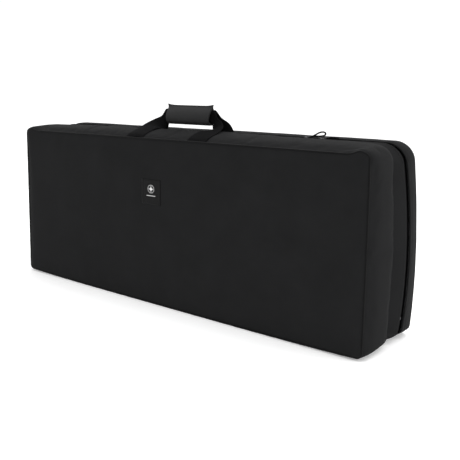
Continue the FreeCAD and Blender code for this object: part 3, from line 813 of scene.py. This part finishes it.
# Unpadded band, in to the padded seam and out to the rolled hem beside the zip
band_rows = profile([(P - 2, -5.2), (P + 1.5, -5.4), (P + 6, -4.6), (P + 14, -2.4), (P + 24, 0.4),
                     (Z - 6, 2.2), (Z - 2.2, 3.0), (Z - 0.5, 2.9), (Z, 2.1), (Z - 0.6, 1.2), (Z - 5, 0.6)])
band = ring_sheet("zip_band", band_rows, "open", band_waves)
thicken(band, 0.9 * MM)
finish_piece(band, SHELL, "case", "top_zip_band", "left_zip_band", "right_zip_band")


def lid_waves(points, normals, depth):
    folds = 1.4 * MM * corner_turn(normals) * uneven(points, 0.03, 29.0)
    return 0.8 * MM * uneven(points, 0.12, 23.0) + folds + 0.3 * MM * uneven(points, 0.03, 31.0)


lid_rows = profile([(L + 5, 0.6), (L + 0.6, 1.4), (L, 2.4), (L + 0.5, 3.4), (L + 2.4, 4.0), (L + 7, 4.6),
                    (L + 14, 5.4), (B - 10, 5.6), (B - 5, 4.4), (B - 2, 1.6), (B - 1.4, -1.8)])
lid_cover = ring_sheet("lid_gusset", lid_rows, "open", lid_waves)
thicken(lid_cover, 0.9 * MM)
finish_piece(lid_cover, SHELL, "lid", "lid_top_gusset", "lid_left_gusset", "lid_right_gusset")

# Fabric hinge under the case: one strip from the padded seam to the back seam
hinge_rows = profile([(P, 0), (P + 10, 0), (P + 22, 0), (P + 34, 0), (P + 40, 0), (P + 43, 0), (P + 45, 0),
                      (P + 47, 0), (P + 50, 0), (P + 58, 0), (B - 14, 0), (B - 2.6, 0)], 3)
hinge = ring_sheet("hinge_cover", hinge_rows, "bottom")
thicken(hinge, 1.0 * MM)
finish_piece(hinge, SHELL, None, "bottom_zip_band", "lid_bottom_gusset")
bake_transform(hinge)


# ---- Front and back panels ----
def spaced(extent, edge, steps_edge, pitch):
    """Places from -extent to extent, closer together near the ends."""
    near = [extent - edge * (step / steps_edge) ** 1.5 for step in range(steps_edge)]
    middle = np.linspace(-(extent - edge), extent - edge, int(2 * (extent - edge) / pitch))
    return np.concatenate([-np.array(near), middle, np.array(near[::-1])])


def panel_points(at, inset, pitch):
    """A grid over the panel whose corner squares are rounded, and each point's distance from the edge."""
    half, middle = at.half - inset, at.top / 2
    upright = middle - inset
    corner = at.corner - inset
    across = spaced(half, 26 * MM, 9, pitch)
    up = spaced(upright, 26 * MM, 9, pitch)
    x, z = (axis.ravel() for axis in np.meshgrid(across, up, indexing="ij"))
    a = np.clip((np.abs(x) - (half - corner)) / corner, 0, 1)
    b = np.clip((np.abs(z) - (upright - corner)) / corner, 0, 1)
    from_x = np.where(a > 0, (half - corner) + corner * a * np.sqrt(1 - b * b / 2), np.abs(x))
    from_z = np.where(b > 0, (upright - corner) + corner * b * np.sqrt(1 - a * a / 2), np.abs(z))
    from_corner = corner * (1 - np.hypot(a * np.sqrt(1 - b * b / 2), b * np.sqrt(1 - a * a / 2)))
    from_side = np.minimum(half - np.abs(x), upright - np.abs(z))
    edge = np.where((a > 0) & (b > 0), from_corner, from_side)
    flat = bowed(at, np.stack([np.sign(x) * from_x, middle + np.sign(z) * from_z], axis=1))
    return flat, edge, np.stack([x, z], axis=1), (len(across), len(up))


def panel_cover(name, at, face, sign, pillow, seed, body, node):
    """Soft panel over foam: it rolls out of its seam, then domes a little; sign is the way it faces."""
    flat, edge, uv, (rows, columns) = panel_points(at, 1.5 * MM, 9 * MM)
    share = np.clip(edge / (20 * MM), 0, 1)
    roll = np.sqrt(np.clip(1 - (1 - share) ** 2, 0, 1))
    x, z = flat[:, 0] / at.half, flat[:, 1] / at.top
    crown = (1 - x ** 2) * (1 - (2 * z - 1) ** 2)
    at_places = np.stack([flat[:, 0], np.zeros(len(flat)), flat[:, 1]], axis=1)
    waves = 1.0 * MM * uneven(at_places, 0.22, seed) + 0.35 * MM * uneven(at_places, 0.06, seed + 4)
    swells = smooth_step(edge / 0.05) * waves
    stand = -2.0 * MM + pillow * roll + 2.5 * MM * crown + swells
    points = np.stack([flat[:, 0], face + sign * stand, flat[:, 1]], axis=1)
    cover = make_mesh(name, points, grid_faces(rows, columns, flipped=sign > 0), uv)
    seams = [row * columns + column for row in range(rows) for column in range(columns)
             if row in (0, rows - 1) or column in (0, columns - 1)]
    billow(cover, seams, slack=0.002)
    thicken(cover, SKIN, levels=1)
    finish_piece(cover, SHELL, body, node)
    return cover


front_cover = panel_cover("front_cover", FRONT_SEAM, FRONT, -1, 5.0 * MM, 41.0, "case", "front_panel")
panel_cover("back_cover", BACK_SEAM, BACK, 1, 4.5 * MM, 47.0, "lid", "back_panel")


def piping(name, depth, inset, body, node):
    """Round welt in the seam, with the small waves of hand-fed cloth."""
    flat, normals = outline(station(depth), inset)
    rows, columns = len(flat), 8
    points, uv = [], []
    along = 0.0
    for index, (point, normal) in enumerate(zip(flat, normals)):
        along += float(np.linalg.norm(point - flat[index - 1])) if index else 0.0
        radius = PIPING_RADIUS * (1 + 0.06 * math.sin(index * 0.9))
        for side in range(columns):
            angle = 2 * math.pi * side / columns
            out, back = radius * math.cos(angle), radius * math.sin(angle)
            height = max(point[1] + normal[1] * out, 0.1 * MM)
            points.append((point[0] + normal[0] * out, depth + back, height))
            uv.append((along, side / columns * 2 * math.pi * radius))
    piece = make_mesh(name, points, grid_faces(rows, columns, closed=True, tube=True), uv)
    return finish_piece(piece, PIPING, body, node)


piping("front_welt", FRONT + 1.6 * MM, 1.6 * MM, "case", "front_piping")
piping("back_welt", BACK - 1.6 * MM, 1.6 * MM, "lid", "back_piping")


# ---- Zip: tapes, coil teeth and stops ----
ZIP_END = low("zip_teeth_body").z
STOP_HEIGHT = ZIP_END - 3 * MM
TAPE_INSET = 1.5 * MM


def zip_path(depth, inset, lowest):
    """The zip's line round the ends and the top at one depth, and the outward direction along it."""
    flat, normals = outline(station(depth), inset)
    picked = [index for index in SPANS["open"] if flat[index][1] >= lowest]
    line = np.array([(flat[index][0], depth, flat[index][1]) for index in picked])
    out = np.array([(normals[index][0], 0, normals[index][1]) for index in picked])
    return line, out


def along_zip(depth, inset, lowest, pitch):
    line, out = zip_path(depth, inset, lowest)
    both, directions = spread_along(np.hstack([line, out]), pitch)
    return both[:, :3], both[:, 3:], directions[:, :3]


def make_teeth(half, depth, sign, body):
    """One row of coil turns: each turn is a rounded loop whose nose points at the other row."""
    places, out, directions = along_zip(depth, TAPE_INSET, ZIP_END, 1.5 * MM)
    form = bmesh.new()
    shape = ((-1.0, 0.55), (-1.0, -0.55), (0.2, -1.0), (1.2, -0.75), (1.5, 0), (1.2, 0.75), (0.2, 1.0))
    for place, outward, direction in zip(places, out, directions):
        direction = direction / np.linalg.norm(direction)
        loops = []
        for shift in (-0.42, 0.42):
            lean = 0.25 * sign
            loops.append([form.verts.new(place + direction * (shift + lean * y * 0.3) * MM
                                         + np.array([0, -sign * y * MM, 0]) + outward * z * MM)
                          for y, z in shape])
        close_rings(form, loops)
    piece = from_form(f"zip_coil_{half}", form, 50)
    finish_piece(piece, TEETH, body, f"zip_teeth_{half}")


def make_stops(half, depth, sign, body):
    """Crimped metal stop at each end of a row."""
    form = bmesh.new()
    flat, normals = outline(station(depth), TAPE_INSET)
    for side in (-1, 1):
        index = min((i for i in range(AROUND) if flat[i][0] * side > 0.4),
                    key=lambda i: abs(flat[i][1] - STOP_HEIGHT) + (abs(normals[i][0]) < 0.5))
        x = flat[index][0]

        def place(out, across, height, x=x, side=side):
            return Vector((x + side * out, depth - sign * across, STOP_HEIGHT + height))

        crimped = [(-1.1 * MM, -1 * MM), (1.2 * MM, -1 * MM), (1.4 * MM, 0), (1.2 * MM, 1.4 * MM),
                   (-1.1 * MM, 1.4 * MM)]
        plate(form, crimped, -2.8 * MM, 2.8 * MM, place, bevel=0.3 * MM)
    finish_piece(from_form(f"zip_end_{half}", form), METAL, body, f"zip_stops_{half}")


def keep_above(piece, lowest):
    """Lifts what lies lower, so that the sheet stays off the hinge and the floor."""
    for vertex in piece.data.vertices:
        vertex.co.z = max(vertex.co.z, lowest)


def make_tape(half, rows, body):
    tape = ring_sheet(f"zip_cloth_{half}", rows, "open")
    keep_above(tape, 1.6 * MM)
    thicken(tape, 0.6 * MM)
    finish_piece(tape, TAPE, body, f"zip_tape_{half}")


BODY_TEETH, LID_TEETH = middle_y("zip_teeth_body"), middle_y("zip_teeth_lid")
body_teeth, lid_teeth = BODY_TEETH / MM, LID_TEETH / MM
make_tape("body", profile([(low("zip_tape_body").y / MM, -2.6), (Z, -2.4), (body_teeth - 1, -2.2),
                           (body_teeth + 0.6, -2.2)], 3), "case")
make_tape("lid", profile([(lid_teeth - 0.6, -2.2), (lid_teeth + 1, -2.2), (L, -2.4),
                          (high("zip_tape_lid").y / MM, -2.6)], 3), "lid")
make_teeth("body", BODY_TEETH, -1, "case")
make_teeth("lid", LID_TEETH, 1, "lid")
make_stops("body", BODY_TEETH, -1, "case")
make_stops("lid", LID_TEETH, 1, "lid")


# ---- Carry handle ----
TOP_SURFACE = surface(gusset)
GRIP_MIDDLE = (high("front_grip_webbing").z + low("front_grip_webbing").z) / 2


def top_at(x, y):
    """Height of the padded top, which is level behind its last stitches."""
    return TOP_SURFACE.ray_cast(Vector((x, min(y, PADDED - 4 * MM), 0.5)), Vector((0, 0, -1)))[0].z


def ribbon(name, keys, thickness=1.9 * MM, steps=9, columns=9):
    """Webbing: keys are centres and half-width vectors, nine numbers with how far its middle bows out."""
    line = curve_through(keys, steps)
    points, uv = [], []
    along = 0.0
    for index, row in enumerate(line):
        centre, half_width = row[:3], row[3:6]
        before, after = line[max(index - 1, 0)][:3], line[min(index + 1, len(line) - 1)][:3]
        normal = np.cross(after - before, half_width)
        normal /= np.linalg.norm(normal)
        along += float(np.linalg.norm(centre - line[index - 1][:3])) if index else 0.0
        for column in range(columns):
            across = 2 * column / (columns - 1) - 1
            place = centre + half_width * across + normal * row[6] * (1 - across ** 2)
            points.append(place)
            uv.append((along, across * float(np.linalg.norm(half_width))))
    band_mesh = make_mesh(name, points, grid_faces(len(line), columns), uv)
    return thicken(band_mesh, thickness, outward=0.0, levels=1)


def strap(side, row):
    """From its seam in the padded gusset up to the grip, turning from flat to on edge on the way."""
    sign = -1 if side == "left" else 1
    node = f"{row}_{side}_strap"
    mouth_y = middle_y(f"{row}_grip_webbing")
    outer = np.array([sign, 0, 0])
    upward = np.array([0, 0, 1.0])
    if row == "front":
        places = ((86, FRONT + 3.4 * MM, 1.2, 25, 0), (86, FRONT + 14 * MM, 2.4, 25, 0),
                  (86, FRONT + 46 * MM, 2.6, 25, 1), (85, FRONT + 63 * MM, 4.2, 24, 12),
                  (80, FRONT + 76 * MM, 8.5, 20, 36), (72, FRONT + 83 * MM, 16, 16, 66))
    else:
        places = ((93, PADDED - 3 * MM, 0.8, 25, 0), (91, PADDED - 1.5 * MM, 3.6, 25, 8),
                  (85, PADDED + 0.5 * MM, 9, 22, 30), (75, PADDED + 1.5 * MM, 16, 17, 62))
    keys = []
    for x, y, above, half, turn in places:
        angle = math.radians(turn)
        width = (outer * math.cos(angle) + upward * math.sin(angle)) * half * MM
        height = top_at(sign * x * MM, y) + above * MM
        keys.append((sign * x * MM, y, height, *width, 1.2 * MM))
    core_half = (high("front_grip_webbing").z - low("front_grip_webbing").z) / 2
    keys.append((sign * 65 * MM, mouth_y, GRIP_MIDDLE - 0.5 * MM, *(upward * 15 * MM + outer * 3 * MM),
                 1.0 * MM))
    keys.append((sign * (GRIP_HALF - 3 * MM), mouth_y, GRIP_MIDDLE, *(upward * core_half), 0.3 * MM))
    piece = ribbon(f"{side}_{row}_webbing", keys)
    finish_piece(piece, WEBBING, None, node)
    seam_height = top_at(sign * places[0][0] * MM, places[0][1])
    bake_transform(piece)


for strap_side in ("left", "right"):
    for strap_row in ("front", "rear"):
        strap(strap_side, strap_row)

for core_row in ("front", "rear"):
    core_y = middle_y(f"{core_row}_grip_webbing")
    core_half = (high(f"{core_row}_grip_webbing").z - low(f"{core_row}_grip_webbing").z) / 2
    core = ribbon(f"{core_row}_core", [(x * MM, core_y, GRIP_MIDDLE, 0, 0, core_half, 0.2 * MM)
                                       for x in (-59, -30, 0, 30, 59)])
    finish_piece(core, WEBBING, "grip", f"{core_row}_grip_webbing")


def grip_half(name, sign, body, nodes, seed):
    """Half of the padded wrap: a folded sheet from the closing fin, over the outside, to the bottom fold."""
    reach = GRIP - low("front_grip_cover").y
    outer = curve_through([(0.05, 1.0), (0.1, 0.94), (0.26, 0.87), (0.5, 0.77), (0.74, 0.64), (0.92, 0.48),
                           (1.0, 0.31), (0.93, 0.15), (0.66, 0.04), (0.35, 0.005), (0.03, 0)], 4)
    outer = outer * np.array([reach, FIN_TOP - GRIP_BOTTOM]) + np.array([0, GRIP_BOTTOM])
    tangent = np.gradient(outer, axis=0)
    tangent /= np.linalg.norm(tangent, axis=1)[:, None]
    inward = np.stack([tangent[:, 1], -tangent[:, 0]], axis=1)
    share = np.linspace(0, 1, len(outer))
    depth = (1.2 + 2.6 * smooth_step((share - 0.08) / 0.2)) * MM
    inner = outer + inward * depth[:, None]
    inner[:, 0] = np.maximum(inner[:, 0], 0.35 * MM)
    loop = np.vstack([outer, inner[::-1]])
    loop_share = np.concatenate([share, share[::-1]])
    lengths = lengths_along(loop)
    rows = 41
    points, uv = [], []
    for row in range(rows):
        along = 2 * row / (rows - 1) - 1
        end = abs(along) ** 8
        for (away, height), place, run in zip(loop, loop_share, lengths):
            tip = (1 - smooth_step(place / 0.3)) * end
            waist = math.sin(math.pi * place) * (1 - along ** 2)
            x = along * (GRIP_HALF + 3.5 * MM * tip - 1.5 * MM * smooth_step((place - 0.3) / 0.5))
            crumple = 0.6 * MM * noise.noise(Vector((x / 0.03, seed, run / 0.02)))
            out = away + smooth_step(place / 0.2) * (crumple + 0.8 * MM * waist - 1.6 * MM * end)
            rise = 2.6 * MM * tip - 0.8 * MM * waist * (place < 0.2)
            points.append((x, GRIP + sign * max(out, 0.3 * MM), height + rise))
            uv.append((x, run))
    columns = len(loop)
    faces = grid_faces(rows, columns, tube=True, flipped=sign > 0)
    faces.append(tuple(range(columns)) if sign > 0 else tuple(range(columns))[::-1])
    last = tuple(range((rows - 1) * columns, rows * columns))
    faces.append(last[::-1] if sign > 0 else last)
    half = make_mesh(name, points, faces, uv)
    bmesh_form = bmesh.new()
    bmesh_form.from_mesh(half.data)
    bmesh.ops.recalc_face_normals(bmesh_form, faces=bmesh_form.faces)
    bmesh_form.to_mesh(half.data)
    bmesh_form.free()
    half.data.set_sharp_from_angle(angle=math.radians(50))
    finish_piece(half, WRAP, body, *nodes)


grip_half("grip_front", -1, "grip_flap", ("front_grip_cover", "front_grip_pad"), 1.5)
grip_half("grip_rear", 1, "grip", ("rear_grip_cover", "rear_grip_pad"), 8.5)

fold = make_mesh("grip_fold", [((x - 20) * 2.9 * MM, GRIP + (y - 5) * 1.3 * MM, GRIP_BOTTOM - 0.5 * MM)
                               for x in range(41) for y in range(11)],
                 grid_faces(41, 11, flipped=True),
                 [(x * 2.9 * MM, y * 1.3 * MM) for x in range(41) for y in range(11)])
thicken(fold, 0.8 * MM)
finish_piece(fold, WRAP, None)
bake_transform(fold)


def grip_strip(name, node, body):
    """Hook or loop strip inside the closing fin."""
    first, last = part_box(node)
    points, uv = [], []
    for row in range(61):
        for column in range(7):
            x = first.x + 1 * MM + (last.x - first.x - 2 * MM) * row / 60
            z = first.z + (last.z - first.z) * column / 6
            points.append((x, (first.y + last.y) / 2, z))
            uv.append((x, z))
    strip = make_mesh(name, points, grid_faces(61, 7), uv)
    thicken(strip, last.y - first.y - 0.2 * MM, outward=0.0)
    finish_piece(strip, FUZZ, body, node)


grip_strip("hook_strip", "grip_hook_strip", "grip_flap")
grip_strip("loop_strip", "grip_loop_strip", "grip")


# ---- Inside: foam, linings and tube cradles ----
def even_rows(start, reach, steps, stand):
    """Rows at even depths that all stand the same way out of the outline."""
    return [(start + reach * step / steps, stand) for step in range(steps + 1)]


for foam_side in ("top", "bottom", "left", "right"):
    foam_rows = even_rows(FRONT + 13.6 * MM, PADDED - FRONT - 15 * MM, 12, -2.6 * MM)
    foam_piece = ring_sheet(f"{foam_side}_padding", foam_rows, foam_side)
    keep_above(foam_piece, 1.6 * MM)
    thicken(foam_piece, 10.2 * MM)
    finish_piece(foam_piece, FOAM, "case", f"{foam_side}_foam_board")


def inner_sheet(name, node, at, inset, thickness, material, body, bow=0.0):
    """A flat layer of the front or back panel, a little bowed."""
    flat, edge, uv, (rows, columns) = panel_points(at, inset, 16 * MM)
    stand = bow * smooth_step(edge / 0.06)
    points = np.stack([flat[:, 0], middle_y(node) + stand, flat[:, 1]], axis=1)
    layer = make_mesh(name, points, grid_faces(rows, columns), uv)
    thicken(layer, thickness, outward=0.0)
    return finish_piece(layer, material, body, node)


PADDINGS = (("front", FRONT_SEAM, 14.6 * MM, "case"), ("back", BACK_SEAM, 3.2 * MM, "lid"))
for panel, panel_at, clear, rides_on in PADDINGS:
    padding = inner_sheet(f"{panel}_padding", f"{panel}_foam_board", panel_at, clear, 11.4 * MM, FOAM,
                          rides_on)
inner_sheet("front_inner_lining", "front_lining", FRONT_SEAM, 14.2 * MM, 0.7 * MM, LINING, "case", 0.6 * MM)
inner_sheet("back_inner_lining", "back_lining", BACK_SEAM, 3.4 * MM, 0.7 * MM, LINING, "lid", -0.6 * MM)


def lining_waves(points, normals, depth):
    return 0.5 * MM * uneven(points, 0.06, 37.0)


lining_rows = even_rows(FRONT + 13 * MM, PADDED - FRONT - 14 * MM, 16, -13.6 * MM)
lining_rows += [(PADDED - 0.4 * MM, -12.2 * MM), (PADDED + 0.4 * MM, -8 * MM), (PADDED + 0.2 * MM, -4.6 * MM)]
tray_lining = ring_sheet("tray_lining", lining_rows, waves=lining_waves)
for lining_vertex in tray_lining.data.vertices:
    over_foam = lining_vertex.co.y < PADDED - 1 * MM
    lining_vertex.co.z = max(lining_vertex.co.z, 13.4 * MM if over_foam else 1.8 * MM)
thicken(tray_lining, 0.6 * MM)
finish_piece(tray_lining, LINING, "case", "gusset_lining")

lid_lining = ring_sheet("lid_lining", even_rows(LID_EDGE + 8.4 * MM, BACK - LID_EDGE - 12 * MM, 8, -2.2 * MM))
keep_above(lid_lining, 1.6 * MM)
thicken(lid_lining, 0.6 * MM)
finish_piece(lid_lining, LINING, "lid", "lid_gusset_lining")

SEAT_RADIUS = 56 * MM


def cradle(side):
    """Foam block with a U seat for the tube; its edges are eased and its faces a little uneven."""
    first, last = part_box(f"{side}_cradle")
    middle = (first.z + last.z) / 2
    seat = first.y + 22 * MM + SEAT_RADIUS
    section = [(last.y, middle + SEAT_RADIUS), (last.y, last.z), (first.y, last.z), (first.y, first.z),
               (last.y, first.z), (last.y, middle - SEAT_RADIUS)]
    section += [(seat - SEAT_RADIUS * math.sin(angle), middle - SEAT_RADIUS * math.cos(angle))
                for angle in np.linspace(0, math.pi, 40)]
    form = bmesh.new()
    ends = [[form.verts.new((x, y, z)) for y, z in section] for x in (first.x, last.x)]
    close_rings(form, ends)
    block = from_form(f"{side}_tube_cradle", form, 30)
    bevel = block.modifiers.new("edges", "BEVEL")
    bevel.width, bevel.segments = 3 * MM, 3
    bevel.limit_method, bevel.angle_limit = "ANGLE", math.radians(40)
    finish_piece(applied(block), CRADLE, "case", f"{side}_cradle")


cradle("left")
cradle("right")


# ---- Label and stitching ----
FRONT_SURFACE = surface(front_cover)
LABEL_LOW, LABEL_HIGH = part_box("label")
LABEL_X, LABEL_Z = (LABEL_LOW.x + LABEL_HIGH.x) / 2, (LABEL_LOW.z + LABEL_HIGH.z) / 2


def on_front(x, z, above):
    """A point a little above the front panel's cloth."""
    hit = FRONT_SURFACE.ray_cast(Vector((x, FRONT - 0.1, z)), Vector((0, 1, 0)))
    return Vector((x, hit[0].y - above, z))


def stitches(name, line, normals, pitch, material, body, length=0.72, radius=0.32 * MM):
    """A row of thread stitches along a line, each dipping into the cloth at its ends."""
    both = np.hstack([np.array(line, float), np.array(normals, float)])
    places, directions = spread_along(both, pitch)
    form = bmesh.new()
    for place, direction in zip(places, directions):
        centre, normal = Vector(place[:3]), Vector(place[3:]).normalized()
        run = Vector(direction[:3]).normalized() * pitch * length / 2
        bar(form, [centre - run - normal * radius * 1.6, centre - run * 0.6, centre + run * 0.6,
                   centre + run - normal * radius * 1.6], radius, sides=5)
    return finish_piece(from_form(name, form, 80), material, body)


def make_label():
    """Square satin patch with a turned edge, a generic four-point star and a plain bar."""
    half = (LABEL_HIGH.x - LABEL_LOW.x) / 2
    count = 23
    points, uv = [], []
    for row in range(count):
        for column in range(count):
            across, up = (2 * row / (count - 1) - 1), (2 * column / (count - 1) - 1)
            rim = max(abs(across), abs(up)) > 0.99
            lift = 0.25 * MM if rim else 0.8 * MM + 0.25 * MM * (max(abs(across), abs(up)) > 0.88)
            x, z = LABEL_X + across * half, LABEL_Z + up * half
            points.append(on_front(x, z, lift))
            uv.append((x, z))
    patch = make_mesh("label_cloth", points, grid_faces(count, count), uv)
    thicken(patch, 0.5 * MM)
    finish_piece(patch, PATCH, "case", "label")
    form = bmesh.new()
    star_up, under, over = 6.5 * MM, -0.05 * MM, 0.14 * MM

    def place(x, z, height):
        return on_front(LABEL_X + x, LABEL_Z + z, 0.8 * MM + height)

    def ring(radius):
        return [(radius * math.cos(angle), star_up + radius * math.sin(angle))
                for angle in np.linspace(0, 2 * math.pi, 41)[:-1]]

    star = []
    for step in range(16):
        angle = math.pi * step / 8
        reach = (7.6, 3.4, 3.6, 3.4)[step % 4] * MM
        star.append((reach * math.sin(angle), star_up + reach * math.cos(angle)))
    frame_plate(form, ring(8.9 * MM), ring(8.2 * MM), under, over, place)
    plate(form, star, under, over, place, bevel=0.03 * MM)
    plain_bar = rounded(-12.5 * MM, 12.5 * MM, -8.6 * MM, -7.4 * MM, 0.4 * MM)
    plate(form, plain_bar, under, over, place, bevel=0.03 * MM)
    finish_piece(from_form("label_print", form, 30), PRINT, "case")
    edge = half * 0.92
    corners = [(-edge, -edge), (edge, -edge), (edge, edge), (-edge, edge), (-edge, -edge)]
    line = []
    for (x0, z0), (x1, z1) in zip(corners, corners[1:]):
        line += [on_front(LABEL_X + x0 + (x1 - x0) * step / 20, LABEL_Z + z0 + (z1 - z0) * step / 20,
                          1.1 * MM) for step in range(20)]
    stitches("label_stitches", line, [(0, -1, 0)] * len(line), 2.6 * MM, THREAD, "case", radius=0.22 * MM)


make_label()


def hem_stitches(name, depth, body, cover):
    """A row of stitches beside the zip, laid on the cover's surface."""
    line, out = zip_path(depth, -1 * MM, 30 * MM)
    tree = surface(cover)
    placed = []
    for point, outward in zip(line, out):
        hit = tree.ray_cast(Vector(point + outward * 0.03), Vector(-outward))
        placed.append(hit[0] + Vector(outward) * 0.12 * MM if hit[0] else Vector(point))
    stitches(name, placed, out, 4.0 * MM, THREAD, body)


hem_stitches("band_hem_stitches", BAND_EDGE - 4.5 * MM, "case", band)
hem_stitches("lid_hem_stitches", LID_EDGE + 4.5 * MM, "lid", lid_cover)
